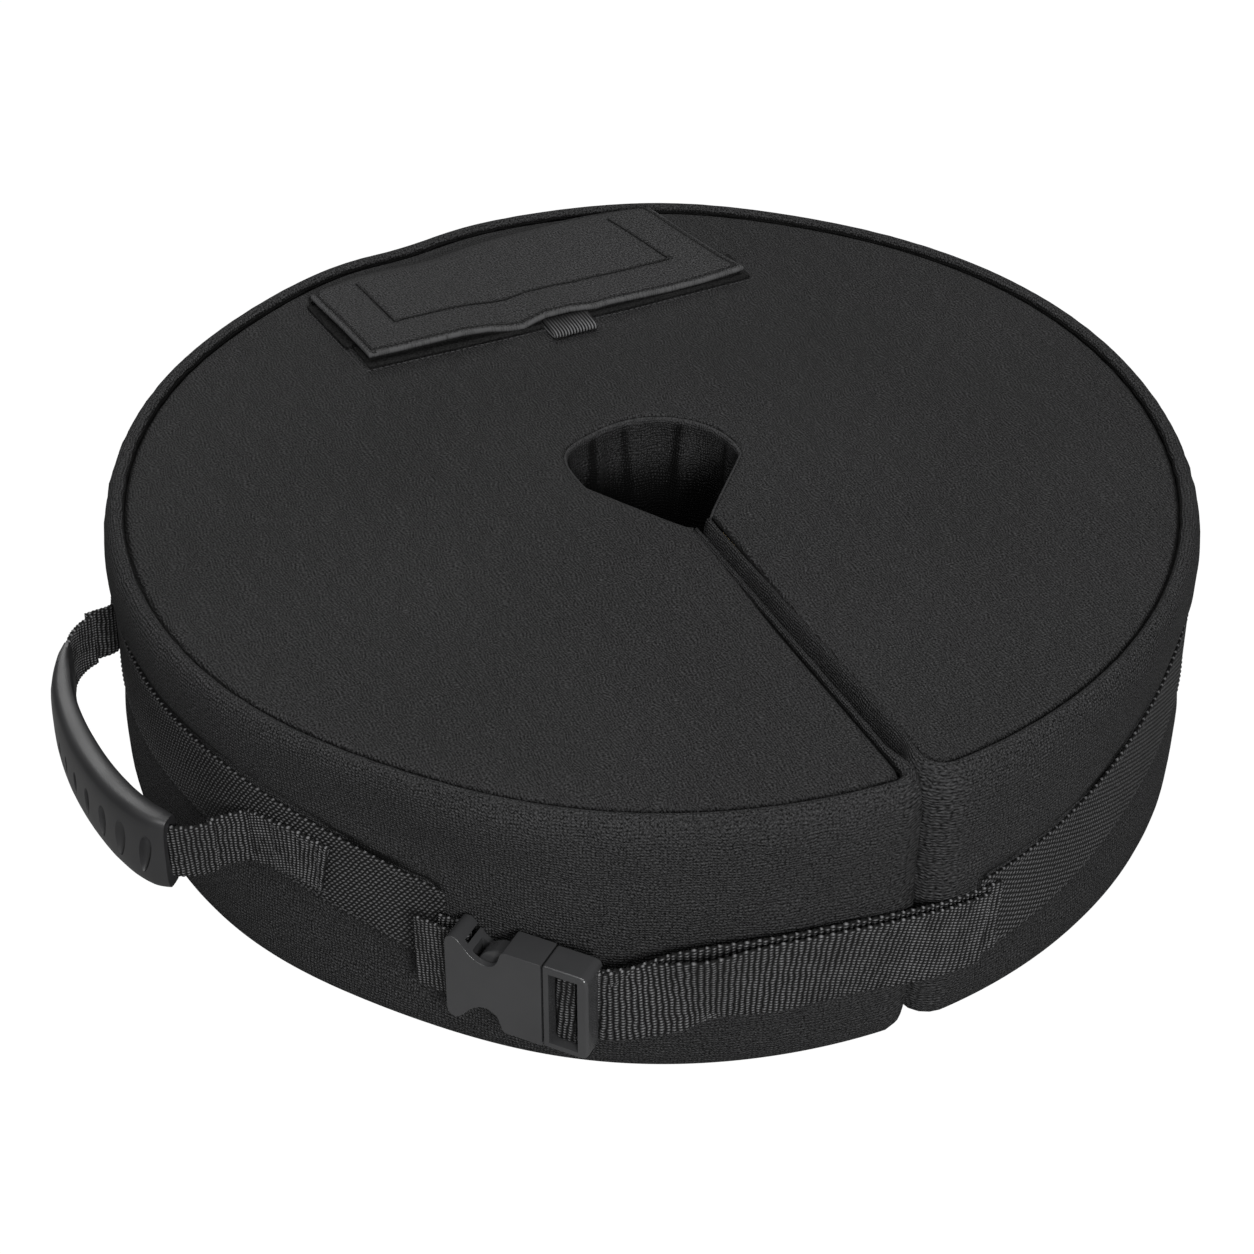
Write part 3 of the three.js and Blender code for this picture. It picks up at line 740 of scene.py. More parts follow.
# ---- stage -----------------------------------------------------------------------------------
class SANDBAG_OT_stage(SandbagPiece):
    """Add the floor, the lights and the camera"""

    bl_idname = "sandbag.stage"
    bl_label = "Stage"
    LIGHTS = (  # name, place, size and watts
        ("key", (-0.3, -0.3, 2.3), 1.5, 25.0),
        ("back", (0.5, 1.9, 1.7), 1.2, 17.0),
        ("front", (-0.55, -2.4, 1.25), 0.8, 58.0),
    )
    FLOOR_REACH, FLOOR_Z = 6.0, -0.0002
    AIM = (0.0, 0.0, 0.08)

    def make(self, cloth, webbing, hardware):
        scene = bpy.context.scene
        scene.view_settings.view_transform = "Standard"
        camera = link("camera", bpy.data.cameras.new("camera"))
        camera.data.lens, camera.data.sensor_width = 92.55, 36.0
        camera.location = (-0.4825, -0.9985, 0.8871)
        camera.rotation_euler = Vector((0.3508, 0.7186, -0.6007)).to_track_quat("-Z", "Y").to_euler()
        scene.camera = camera

        floor = link("floor", bpy.data.meshes.new("floor"))
        far = self.FLOOR_REACH
        corners = [(x, y, self.FLOOR_Z) for x, y in ((-far, -far), (far, -far), (far, far), (-far, far))]
        floor.data.from_pydata(corners, [], [(0, 1, 2, 3)])
        floor.data.materials.append(self.paper())

        world = scene.world or bpy.data.worlds.new("studio")
        scene.world = world
        world.use_nodes = True
        world.node_tree.nodes.clear()
        w = Wiring(world.node_tree)
        both = w.add("ShaderNodeMixShader")
        w.feed(both.inputs[0], w.add("ShaderNodeLightPath").outputs["Is Camera Ray"])
        for socket, strength in ((1, 0.09), (2, 1.2)):
            white = w.add("ShaderNodeBackground", {"Color": (1, 1, 1, 1), "Strength": strength})
            w.feed(both.inputs[socket], white.outputs[0])
        w.feed(w.add("ShaderNodeOutputWorld").inputs[0], both.outputs[0])

        for name, place, size, power in self.LIGHTS:
            light = link(name, bpy.data.lights.new(name, "AREA"))
            light.data.size, light.data.energy = size, power
            light.location = place
            light.rotation_euler = (Vector(self.AIM) - Vector(place)).to_track_quat("-Z", "Y").to_euler()

    def paper(self):
        """White paper that shows as bare white and throws back only a little light."""
        material, w, shader = new_material("white_paper", 1.0, 0.0)
        shader.inputs["Base Color"].default_value = (0.30, 0.30, 0.30, 1)
        glow = w.add("ShaderNodeEmission", {"Color": (1, 1, 1, 1), "Strength": 1.08})
        path = w.add("ShaderNodeLightPath")
        mixed = w.add("ShaderNodeMixShader")
        w.feed(mixed.inputs[0], w.times(path.outputs["Is Camera Ray"], 0.94))
        w.feed(mixed.inputs[1], shader.outputs[0])
        w.feed(mixed.inputs[2], glow.outputs[0])
        w.feed(material.node_tree.nodes["Material Output"].inputs[0], mixed.outputs[0])
        return material


class SANDBAG_OT_finishes(SandbagPiece):
    """Make the node groups, the materials and the geometry trees"""

    bl_idname = "sandbag.finishes"
    bl_label = "Finishes"

    def make(self, cloth, webbing, hardware):
        GROUPS.update(oxford=oxford_group(), webbing=webbing_group(), dust=dust_group(), grain=grain_group())
        TREES.update(stitch=stitch_tree(), rib=rib_tree())
        panel, wall, yarn = tuple(cloth.panel_colour), tuple(cloth.wall_colour), tuple(webbing.colour)
        pitch, rib = mm(cloth.weave_pitch), mm(webbing.rib_pitch)
        # The liner's colour is the side's, darker by 0.72 as painted shade inside the hole.
        flap, inner, belt_yarn = (
            tuple(factor * c for c in colour) for factor, colour in ((1.46, panel), (0.72, wall), (0.86, yarn))
        )
        for name, maker, *values in (
            ("oxford_panel", cloth_material, panel, pitch, 0.9, 0.3),
            ("oxford_flap", cloth_material, flap, pitch, 0.7, 0.6),
            ("oxford_side", cloth_material, wall, pitch * 1.12, 0.5, 0.6, 1.0, (0.0, 3.0)),
            ("oxford_liner", cloth_material, inner, pitch, 0.8, 0.5, 0.9, (0.0, 2.8)),
            # The belt's webbing is given 0.86 of the yarn colour, darker than the other webbing.
            ("webbing_belt", webbing_material, belt_yarn, 1.9, 1.9, 0.5, (0.03, 9.5)),
            ("webbing_strap", webbing_material, yarn, rib, 1.35, 0.1),
            ("webbing_handle", webbing_material, yarn, 1.9, 1.3, -0.05),
            ("webbing_tab", webbing_material, yarn, 40.0, 1.45, 0.0),
            ("tape_loops", tape_material, (0.012, 0.012, 0.012), 900.0),
            ("tape_hooks", tape_material, (0.010, 0.010, 0.010), 700.0),
            ("buckle", moulded_material, tuple(hardware.buckle_colour), 0.23, 1400.0, 0.04),
            ("grip", moulded_material, tuple(hardware.grip_colour), 0.42, 1100.0, 0.1),
            ("thread", thread_material, (0.04, 0.04, 0.041)),
            # A shaded copy of the thread: near black, as painted shade where the flap's stitches sink.
            ("thread_dark", thread_material, (0.006, 0.006, 0.006)),
            ("sand", sand_material, tuple(hardware.sand_colour)),
        ):
            MATERIALS[name] = maker(name, *values)


# ---- the bag ---------------------------------------------------------------------------------
def panel_columns():
    length = float(spaced(rim_outline(), 1.0)[1][-1])
    return fractions(length, (0, 0.6, 1.4, 2.4, 3.8, 5.6, 8.0, 11.0), 3.2)


class SANDBAG_OT_top_panel(SandbagPiece):
    """Make the top panel, with its keyhole and the filling mouth"""

    bl_idname = "sandbag.top_panel"
    bl_label = "Top panel"

    def make(self, cloth, webbing, hardware):
        columns = panel_columns()
        upper = fractions(180.0)
        lower = np.linspace(1, 0, 9)
        plan = ruled(columns, np.concatenate([upper, lower]))
        x, y = plan[..., 0], plan[..., 1]
        rim = near(plan, spaced(rim_outline(), 1.0)[0])
        slit = [(THROAT_RIGHT, (SLIT_RIGHT, -211.0)), (THROAT_LEFT, (SLIT_LEFT, -215.0))]
        edge = near(plan, *(spaced(line, 0.7)[0] for line in (hole_outline(), *slit)))
        z = panel_height(x, y)
        z += 0.5 * ripple(x, y, 62.0, 4.1) * smooth(np.minimum(rim, edge), 2, 40)
        z += 0.22 * ripple(x, y, 17.0, 8.3) * smooth(np.minimum(rim, edge), 0, 14)
        z -= 1.9 * np.exp(-((rim / 1.25) ** 1.6)) + 0.6 * np.exp(-rim / 6.0)
        z -= 1.3 * np.exp(-((edge / 0.9) ** 2)) + 0.2 * np.exp(-edge / 5.0)
        z[len(upper):] -= mm(cloth.cloth_thickness)
        # Painted shade along the seam at the rim, round the hole and along the slit's two seams.
        painted_shading = np.exp(-((rim / 0.9) ** 2)) + 0.9 * np.exp(-((edge / 0.5) ** 2))
        places = squeeze(np.stack([x, y, z], -1))
        obj = tube("top_cloth", places, plan, {"painted_shading": painted_shading})
        combine(obj, self.mouth())
        finish(obj, "bag", "oxford_top", "oxford_panel", "top_panel")

    def mouth(self):
        """A block with rounded corners where the sand goes in."""
        half, deep, radius, middle = 55.0, 13.0, 5.0, (14, 166)
        ring = []
        for cx, cy, start in ((1, 1, 0), (-1, 1, 90), (-1, -1, 180), (1, -1, 270)):
            arc = polar(np.linspace(start, start + 90, 6), radius)
            ring.append(arc + middle + np.array([cx, cy]) * [half - radius, deep - radius])
        ring = np.concatenate(ring)
        return prism("mouth_cutter", *(np.c_[ring, np.full(len(ring), z)] for z in (118.0, 134.0)))


# Profile of the side, from the seam with the top panel over the shoulder and down to the base, and then
# back up inside: (out from the seam line, height).
WALL_OUT = [
    (0.0, 124.2), (0.35, 125.5), (1.1, 126.7), (2.4, 127.7), (4.0, 128.0), (5.6, 127.2), (7.0, 125.2),
    (8.1, 122.4), (8.8, 119), (9.15, 115), (9.25, 111), (9.2, 107), (9.0, 103), (8.8, 99), (8.6, 95), (8.5, 91),
    *((8.4, height) for height in range(87, 34, -4)),
    (8.3, 31), (8.2, 27), (8.0, 22), (7.7, 17), (7.2, 12), (6.5, 8), (5.5, 4.6), (4.2, 2.2), (2.6, 0.7),
    (0.6, 0.0),
]
WALL_IN = [
    (0.8, 1.4), (3.6, 3.4), (5.6, 9.0), (6.7, 20), (7.1, 40), (7.1, 60), (7.2, 80), (7.6, 98), (7.9, 110),
    (7.3, 119), (5.6, 124.4), (3.4, 126.3), (1.8, 125.3), (0.9, 124.0),
]


SEWN_OUT = 6.15  # how far out the side may stand where the belt holds it


def squared(plan):
    """Level directions to the right of a path, square to it."""
    ahead = unit(np.gradient(plan, axis=0))
    return np.stack([ahead[:, 1], -ahead[:, 0]], -1)


def stood(plan, out, away, height):
    """Places over a level path: away from it along out, at those heights."""
    level = plan[None] + out[None] * away[..., None]
    return np.concatenate([level, height[..., None]], -1)


class SANDBAG_OT_side(SandbagPiece):
    """Make the side, with the two walls of the slit"""

    bl_idname = "sandbag.side"
    bl_label = "Side"

    def make(self, cloth, webbing, hardware):
        plan, run = spaced([THROAT_RIGHT, *rim_outline(), THROAT_LEFT], 2.9)
        out = squared(plan)
        r = np.hypot(plan[:, 0], plan[:, 1])
        angle = np.degrees(np.arctan2(plan[:, 1], plan[:, 0]))
        on_rim = smooth(r, 200, 217)
        inner = 0.42 + 0.58 * on_rim
        profile = np.array(WALL_OUT + WALL_IN)
        away = profile[:, 0:1] * inner[None]
        height = np.repeat(profile[:, 1:2], len(plan), axis=1)
        belt = belt_height(angle)[None]
        from_back = turn(angle, BELT_BACK)
        sewn = smooth(from_back, -153.5, -151.0) * (1 - smooth(from_back, 151.0, 153.5)) * on_rim
        half = mm(webbing.belt_width) / 2
        over, under = height - (belt + half), (belt - half) - height
        hold = np.where(under > 0, 1 - smooth(under, 0.5, 26.0), 1.0)
        hold = np.where(over > 0, 1 - smooth(over, 0.2, 8.0), hold)
        away = away - np.maximum(away - SEWN_OUT, 0.0) * hold * sewn[None]
        turned = np.broadcast_to(run[None], away.shape)
        soft = smooth(height, 2, 30) * (1 - smooth(height, 112, 125))
        sway = 0.9 * ripple(turned, height, 70.0, 2.7) + 0.3 * ripple(turned, height, 19.0, 6.1)
        away = away + sway * soft * (1 - hold * sewn) * inner
        away = away + 0.32 * ripple(turned, height * 0.25, 6.5, 9.9) * bell(height, 121.0, 5.0)
        sag = rim_sag(angle)[None] * smooth(height, 70, 124) * on_rim[None]
        places = stood(plan, out, away, height + sag)
        # Painted shade along the top and base seams, and in the groove just over the belt's top edge.
        painted_shading = np.zeros(away.shape)
        painted_shading[[0, 1, len(WALL_OUT) - 1]] = [[1.0], [0.6], [0.4]]
        painted_shading = np.maximum(painted_shading, 0.75 * bell(over, 0.6, 1.6) * sewn[None])
        step = np.linalg.norm(np.diff(profile, axis=0), axis=1)
        down = np.concatenate([[0.0], np.cumsum(step)])
        uv = np.stack([turned, np.broadcast_to(down[:, None], away.shape)], -1)
        obj = tube("side_cloth", squeeze(places), uv, {"painted_shading": painted_shading})
        finish(obj, "bag", "oxford", "oxford_side", "outer_wall")


class SANDBAG_OT_base(SandbagPiece):
    """Make the base panel"""

    bl_idname = "sandbag.base"
    bl_label = "Base panel"

    def make(self, cloth, webbing, hardware):
        columns = panel_columns()[::2]
        t = np.array([0, 0.02, 0.1, 0.3, 0.6, 0.9, 0.98, 1.0])
        plan = ruled(columns, np.concatenate([t, t[::-1]]))
        z = np.where(np.arange(len(t) * 2) < len(t), 1.2, 0.0)[:, None] + np.zeros(plan.shape[:2])
        z[[0, len(t) - 1]] -= 0.3
        z[[len(t), -1]] += 0.3
        places = squeeze(np.concatenate([plan, z[..., None]], -1))
        obj = tube("base_cloth", places, plan, {"painted_shading": z * 0})
        finish(obj, "bag", "oxford", "oxford_side", "bottom_panel")


class SANDBAG_OT_liner(SandbagPiece):
    """Make the pleated liner of the pole hole"""

    bl_idname = "sandbag.liner"
    bl_label = "Hole liner"
    # Folds: place along the hole's edge in mm, depth, width, and how far each leans as it goes down.
    FOLDS = (
        (30, 2.2, 3.5, 6), (58, 2.2, 5.0, -5), (84, 2.8, 3.4, 4), (108, 2.2, 5.0, -3), (126, 2.4, 3.0, 5),
        (146, 2.8, 2.0, 3), (168, 2.4, 4.0, -6), (190, 2.6, 3.5, -4),
    )

    def make(self, cloth, webbing, hardware):
        plan, run = spaced(hole_outline(), 0.9)
        into_cloth = squared(plan)
        height = np.concatenate([[123.8, 124.9, 125.3, 125.0, 124.2, 122.6], np.linspace(120, 0.6, 36)])
        roll = np.concatenate([[1.5, 1.1, 0.3, -0.5, -0.9, -0.9], np.full(36, -0.5)])
        s, d = np.meshgrid(run, 125.3 - height)
        fold, line = np.zeros_like(s), np.zeros_like(s)
        for place, depth, width, lean in self.FOLDS:
            middle = place + lean * d / 60.0
            fold += 1.4 * depth * bell(s, middle, width) * smooth(d, 0.8, 18)
            # Painted shade: a dark line beside each fold.
            line += bell(s, middle + width * 0.9, 1.3) * smooth(d, 0.3, 5) * min(1.0, 3.0 / width)
        fold += 0.5 * ripple(s, d, 14.0, 5.5) * smooth(d, 4, 30)
        ends = smooth(s, 0, 12) * (1 - smooth(s, run[-1] - 12, run[-1]))
        away = roll[:, None] - fold * ends
        level = np.broadcast_to((height + 3.0 * smooth(height, 60, 124))[:, None], s.shape)
        places = stood(plan, into_cloth, away, level)
        down = np.zeros_like(places)
        down[..., :2] = into_cloth[None]
        # Painted shade: darker beside the folds, deeper down the hole and along the top row at the seam; a
        # painted highlight along the roll just under the top.
        painted_shading = 0.55 * line * ends + 0.8 * smooth(d, 14, 50) - 0.3 * bell(d, 0.3, 1.0)
        painted_shading[0] = 1.0
        uv = np.stack([s, d], -1)
        obj = skin("hole_cloth", places, mm(cloth.cloth_thickness), uv, {"painted_shading": painted_shading}, 0.2, down)
        finish(obj, "bag", "oxford", "oxford_liner", "hole_liner")


class SANDBAG_OT_sand(SandbagPiece):
    """Fill the bag with sand, sunk under the filling mouth"""

    bl_idname = "sandbag.sand"
    bl_label = "Sand"

    def make(self, cloth, webbing, hardware):
        t_top = np.linspace(0.05, 0.975, 60)
        t = np.concatenate([[0.05, 0.045], t_top, [0.985, 0.985, 0.98], [0.7, 0.35]])
        plan = ruled(np.linspace(0.008, 0.992, 260), t)
        x, y = plan[..., 0], plan[..., 1]
        z = panel_height(x, y) - 3.4
        under_mouth = bell(x, 14, 46) ** 2 * bell(y, 166, 17)
        hollow = 8.5 + 1.8 * ripple(x, y, 16.0, 3.3) + 0.7 * ripple(x, y, 5.0, 1.3)
        z -= hollow * np.clip(under_mouth * 1.5, 0, 1)
        k = len(t_top) + 2
        z[[0, 1, *range(k, k + 5)]] = np.array([4.0, 60.0, 116.0, 60.0, 6.0, 2.6, 2.6])[:, None]
        places = squeeze(np.stack([x, y, z], -1))
        obj = tube("sand_filling", places, plan)
        finish(obj, "bag", "sand", "sand", "sand_fill")


# ---- the flap --------------------------------------------------------------------------------
# The flap's front edge: how far it stands over or under its mean height, at places from left to right.
EDGE_X = [-80, -75, -60, -45, -30, -18, -8, -1, 4, 10, 22, 28, 34, 42, 56, 72, 88, 100, 110]
EDGE_Z = [0.6, 0.5, 0.5, 0.8, 0.9, 0.2, -1.4, -1.9, -0.6, 0.5, 0.6, 0.0, -0.6, -0.2, -0.6, -1.0, -0.8, -0.2, 0.4]


def flap_front(x):
    """The flap's front edge lies further back at its left corner."""
    return np.interp(x, [-80, -40, 0, 50, 112], [130.0, 128.0, 126.4, 125.2, 124.6])


def flap_height(x, y):
    """The flap's upper face before its stitched lines are sunk."""
    inward = np.maximum(y - flap_front(x), 0.0)
    lift = 1.35 * np.interp(x, EDGE_X, EDGE_Z)
    curl = 0.9 * bell(x, FLAP_L, 7.0) + 0.7 * bell(x, FLAP_R, 7.0)
    z = FLAP_TOP + lift * np.exp(-((inward / 26.0) ** 2)) - curl * 0.5 * smooth(y, 150, 190)
    z = z + rim_sag(np.degrees(np.arctan2(y, x))) * smooth(y, 150, 200) * 0.8
    return z + 0.35 * ripple(x, y, 34.0, 2.2) * smooth(inward, 4, 22) * (1 - smooth(y, 176, 190))


class SANDBAG_OT_flap(SandbagPiece):
    """Make the filling flap, its hem on the bag, its tapes and its pull tab"""

    bl_idname = "sandbag.flap"
    bl_label = "Filling flap"
    # Route of the pull tab: (back from the flap's front edge, height).
    TAB = (
        (3.0, 129.9), (-6.0, 129.9), (-11.8, 129.7), (-13.2, 128.6), (-11.8, 127.7), (-4.0, 127.7), (2.0, 127.8),
    )

    def make(self, cloth, webbing, hardware):
        self.face()
        self.hem()
        self.tapes()
        self.tab()
        self.thread()

    def side(self, left, y):
        """The flap leans to the left on its left side, and more on its right."""
        back = np.clip((y - FLAP_FRONT) / (FLAP_BACK - FLAP_FRONT), 0, 1)
        return np.where(left, FLAP_L - FLAP_LEAN_LEFT * back, FLAP_R - FLAP_LEAN_RIGHT * back)

    def lines(self, x, y):
        """Distance in from the three free edges."""
        return np.minimum(np.minimum(x - self.side(True, y), self.side(False, y) - x), y - flap_front(x))

    def face(self):
        fine = (0, 0.5, 1.1, 1.8, 2.6, 3.5, 4.5, 5.6, 7.0)
        uu, vv = np.meshgrid(fractions(181.0, fine, 1.5), fractions(70.0, fine, 1.5))
        y = FLAP_FRONT + (FLAP_BACK - FLAP_FRONT) * vv
        x = self.side(True, y) * (1 - uu) + self.side(False, y) * uu
        y = flap_front(x) + (FLAP_BACK - flap_front(x)) * vv
        edge = self.lines(x, y)
        z = flap_height(x, y)
        z -= 0.4 * bell(edge, TOPSTITCH, 0.55) + 0.45 * bell(edge, INNER_STITCH, 0.7)
        z -= 0.45 * np.exp(-((np.maximum(edge, 0) / 0.8) ** 2))
        z += 0.35 * smooth(edge, 20, 2)
        # Painted shade along the two sunk stitch lines, and a painted highlight along the free edges.
        painted_shading = 0.35 * bell(edge, TOPSTITCH, 0.5) + 0.3 * bell(edge, INNER_STITCH, 0.6)
        painted_shading -= 0.5 * np.exp(-((edge / 0.6) ** 2))
        obj = laid("flap_cloth", x, y, z, FLAP_THICK, 0.5, {"painted_shading": painted_shading}, PATTERN_SHIFT)
        finish(obj, "filling_flap", "oxford_top", "oxford_flap", "flap_face", "flap_lining")

    def hem(self):
        """The strip behind the fold, sewn into the rim's seam along its arc."""
        uu, vv = np.meshgrid(fractions(168.0, (0, 0.6, 1.4, 2.6, 4.5), 2.5), np.linspace(0, 1, 12))
        x = (FLAP_L - 3.4) * (1 - uu) + (FLAP_R - 15.1) * uu
        arc = np.minimum(191.6 + 15.5 * np.sqrt(np.clip(1 - ((x - 8.0) / 87.0) ** 2, 0, 1)), 207.0)
        y = 191.0 + (arc - 191.0) * vv
        fall = vv ** 1.6
        z = flap_height(x, np.full_like(x, FLAP_BACK)) * (1 - fall) + (panel_height(x, y) + 2.6) * fall
        edge = np.minimum(arc - y, np.minimum(x - x[0, 0], x[0, -1] - x))
        z -= 0.4 * bell(edge, 2.2, 0.6)
        # Painted shade along the sunk stitch line.
        painted_shading = 0.5 * bell(edge, 2.2, 0.5)
        obj = laid("flap_hem", x, y, z, FLAP_THICK, 0.4, {"painted_shading": painted_shading}, PATTERN_SHIFT)
        finish(obj, "bag", "oxford_top", "oxford_flap", "flap_rear_hem")

    def tapes(self):
        for side in ("front", "left", "right"):
            self.tape(side, "loops", 2.6, 2.5, "bag", f"panel_loop_tape_{side}")
            self.tape(side, "hooks", -1.2, -1.5, "filling_flap", f"flap_hook_tape_{side}")

    def tape(self, side, kind, grow, grow_right, body, node):
        """One touch tape, standing out past the flap by grow on its left and grow_right on its right."""
        right_edge = FLAP_R + grow_right
        if side == "front":
            uu, vv = np.meshgrid(np.linspace(0, 1, 60), np.linspace(0, 1, 8))
            x = (FLAP_L - grow * 0.3) * (1 - uu) + right_edge * uu
            y = flap_front(x) - grow * 0.7 + 20.5 * vv
        else:
            uu, vv = np.meshgrid(np.linspace(0, 1, 8), np.linspace(0, 1, 24))
            foot = float(flap_front(FLAP_L if side == "left" else FLAP_R)) + 19.0
            y = foot + (189.5 - foot) * vv
            back = np.clip((y - FLAP_FRONT) / 65.0, 0, 1)
            left, right = FLAP_L - grow - FLAP_LEAN_LEFT * back, right_edge - FLAP_LEAN_RIGHT * back - 20.0
            x = (left if side == "left" else right) + 20.0 * uu
        z, thick = (panel_height(x, y) + 1.9, 1.5) if kind == "loops" else (flap_height(x, y) - 2.35, 1.4)
        z = z + 0.12 * ripple(x, y, 3.0, 1.0)
        obj = laid(f"flap_tape_{kind}_{side}", x, y, z, thick, 0.3, {})
        finish(obj, body, "touch_tape", f"tape_{kind}", node)

    def tab(self):
        """A folded tape, sewn in under the flap's front edge."""
        at = 18.6
        front = float(flap_front(at))
        path = rounded([(at, front + y, z) for y, z in self.TAB], 2)
        ahead = unit(np.gradient(path, axis=0))
        out = np.stack([np.zeros(len(path)), ahead[:, 2], -ahead[:, 1]], 1)
        obj = ribbon("pull_tab_webbing", path, out, 21.4, 1.2, 0.5, 61)
        swap_marks(obj)
        raise_ribs(obj, 1.45, 0.00028, 0.0, "webbing_tab")
        finish(obj, "filling_flap", "webbing", None, "flap_pull_tab")

    def thread(self):
        def line(inset, start=0.0):
            y = np.linspace(FLAP_BACK - 1.0, FLAP_FRONT + inset + start, 30)
            left = np.stack([self.side(True, y) + inset, y], 1)
            x = np.linspace(FLAP_L + inset + 1.5, FLAP_R - inset - 1.5, 60)
            front = np.stack([x, flap_front(x) + inset], 1)
            right = np.stack([self.side(False, y) - inset, y], 1)[::-1]
            path = rounded(np.concatenate([left, front, right]), 1)
            return np.c_[path, flap_height(path[:, 0], path[:, 1]) + 0.02]

        lines = [line(TOPSTITCH), line(INNER_STITCH, 1.5)]
        # The flap's stitches take the near-black thread, painted shade of their sunk lines.
        stitches("flap_stitches", lines, "filling_flap", "oxford_top", 2.4, 2.4, 0.42, "thread_dark")
        x = np.linspace(FLAP_L - 1.5, FLAP_R + 3.5, 60)
        front = np.stack([x, flap_front(x) - 2.8], 1)
        y = np.linspace(flap_front(FLAP_L) - 1.0, 188, 30)
        left = np.stack([self.side(True, y) - 3.4, y], 1)[::-1]
        y = np.linspace(flap_front(FLAP_R) - 1.0, 188, 30)
        right = np.stack([self.side(False, y) + 3.5, y], 1)
        path = np.concatenate([left, front, right])
        path = np.c_[path, panel_height(path[:, 0], path[:, 1]) + 0.15]
        stitches("tape_stitches", [path], "bag", "oxford_top", 2.8, 2.2, 0.32)


def swap_marks(obj):
    """Turns a tape's ribs the other way: its marks along and across change places."""
    marks = [obj.data.attributes[key].data for key in ("along", "across")]
    values = [np.empty(len(obj.data.vertices), np.float32) for _ in marks]
    for mark, value in zip(marks, values):
        mark.foreach_get("value", value)
    for mark, value in zip(marks, values[::-1]):
        mark.foreach_set("value", value)


# ---- belt and strap --------------------------------------------------------------------------
def round_path(angles, radius, height):
    """A path round the side, pulled in with it, and the directions that face out of it."""
    p = squeeze(np.c_[polar(angles, np.broadcast_to(radius, np.shape(angles))), height])
    return p, unit(np.c_[p[:, :2], np.zeros(len(p))])


class SANDBAG_OT_belt(SandbagPiece):
    """Make the sewn belt round the side, with its stitches"""

    bl_idname = "sandbag.belt"
    bl_label = "Belt"

    def make(self, cloth, webbing, hardware):
        angles = np.arange(BELT_FROM, BELT_TO + 0.1, 0.5)
        path, out = round_path(angles, (BELT_IN + BELT_OUT) / 2, belt_height(angles))
        width = mm(webbing.belt_width)
        obj = ribbon("belt_webbing_round", path, out, width, BELT_OUT - BELT_IN, 2.0, 17)
        finish(obj, "bag", "webbing", "webbing_belt", "belt_webbing")
        lines = [
            round_path(angles, BELT_OUT + 0.02, belt_height(angles) + side * (width / 2 - 2.0))[0]
            for side in (-1, 1)
        ]
        stitches("belt_stitches", lines, "bag", "webbing", 3.2, 2.2, 0.34)


def buckle_place(u, v, w):
    """A place in the buckle's own directions: u along the strap, v up, w out from the bag."""
    start, end = polar(*BUCKLE_START), polar(*BUCKLE_END)
    pull = (end - start) / np.linalg.norm(end - start)
    u, v, w = np.broadcast_arrays(np.asarray(u, float), v, w)
    out = np.array([pull[1], -pull[0]])
    xy = start + u[..., None] * pull + w[..., None] * out
    return np.concatenate([xy, (BUCKLE_Z + v)[..., None]], -1)


def facing(path, flip=1.0):
    """Directions square to a level path, to its right, or its left where flip is -1."""
    ahead = unit(np.gradient(path, axis=0))
    return unit(np.stack([ahead[:, 1], -ahead[:, 0], np.zeros(len(path))], 1)) * flip


def ribbed(name, path, flip, width, thick, across, ribs, wave, seed):
    """Webbing along a level path, its ribs raised: ribs has their pitch, relief, slant and material."""
    obj = ribbon(name, path, facing(path, flip), width, thick, 0.45, across, wave, seed)
    raise_ribs(obj, *ribs)
    return obj


class SANDBAG_OT_strap(SandbagPiece):
    """Make the closing strap: the sewn run, the loop round the buckle's bar and the free tail"""

    bl_idname = "sandbag.strap"
    bl_label = "Closing strap"

    THICK = 1.4
    # Its two layers: (angle, out from the belt) round the bag, and (along, out) in the buckle.
    RUN_IN = ((-80.3, 1.2), (-85, 1.5), (-90, 2.6), (-97, 4.6), (-104, 6.4), (-111, 7.6), (-116, 8.2))
    LOOP_IN = ((62, -5.7), (54, -5.6), (47.2, -5.5), (45.6, -4.6), (45.2, -2.5), (45.2, 0.9))
    LOOP_OUT = (
        (45.2, 0.9), (45.6, 2.3), (46.9, 2.8), (50, 2.9), (53.2, 2.8), (54.4, 2.2), (54.65, 1), (54.7, -1.4),
        (55.4, -2.7), (57, -3.1), (62, -3.1),
    )
    RUN_OUT = ((-116, 11.4), (-111, 11.4), (-104, 10.4), (-97, 8.4), (-90, 6.2), (-86, 5.2), (-82.6, 4.4))

    def make(self, cloth, webbing, hardware):
        width = mm(webbing.strap_width)
        ribs = (mm(webbing.rib_pitch), 0.00045, 0.1, "webbing_strap")
        path = rounded(np.concatenate([self.round(self.RUN_IN), self.through(self.LOOP_IN)]), 3)
        obj = ribbed("strap_run", path, -1.0, width, self.THICK, 15, ribs, 0.25, 1.0)
        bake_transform(obj)
        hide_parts("closing_strap")

        path = rounded(np.concatenate([self.through(self.LOOP_OUT), self.round(self.RUN_OUT)]), 3)
        obj = ribbed("strap_tail", path, 1.0, width, self.THICK, 15, ribs, 0.25, 4.0)
        finish(obj, "plug_and_strap", "webbing")

    def round(self, run):
        angle, out = np.array(run, float).T
        return np.c_[polar(angle, BELT_OUT + out), strap_height(angle)]

    def through(self, run):
        u, w = np.array(run, float).T
        place = buckle_place(u, 0.0, w)
        angle = np.degrees(np.arctan2(place[:, 1], place[:, 0]))
        place[:, 2] = strap_height(angle)
        return place


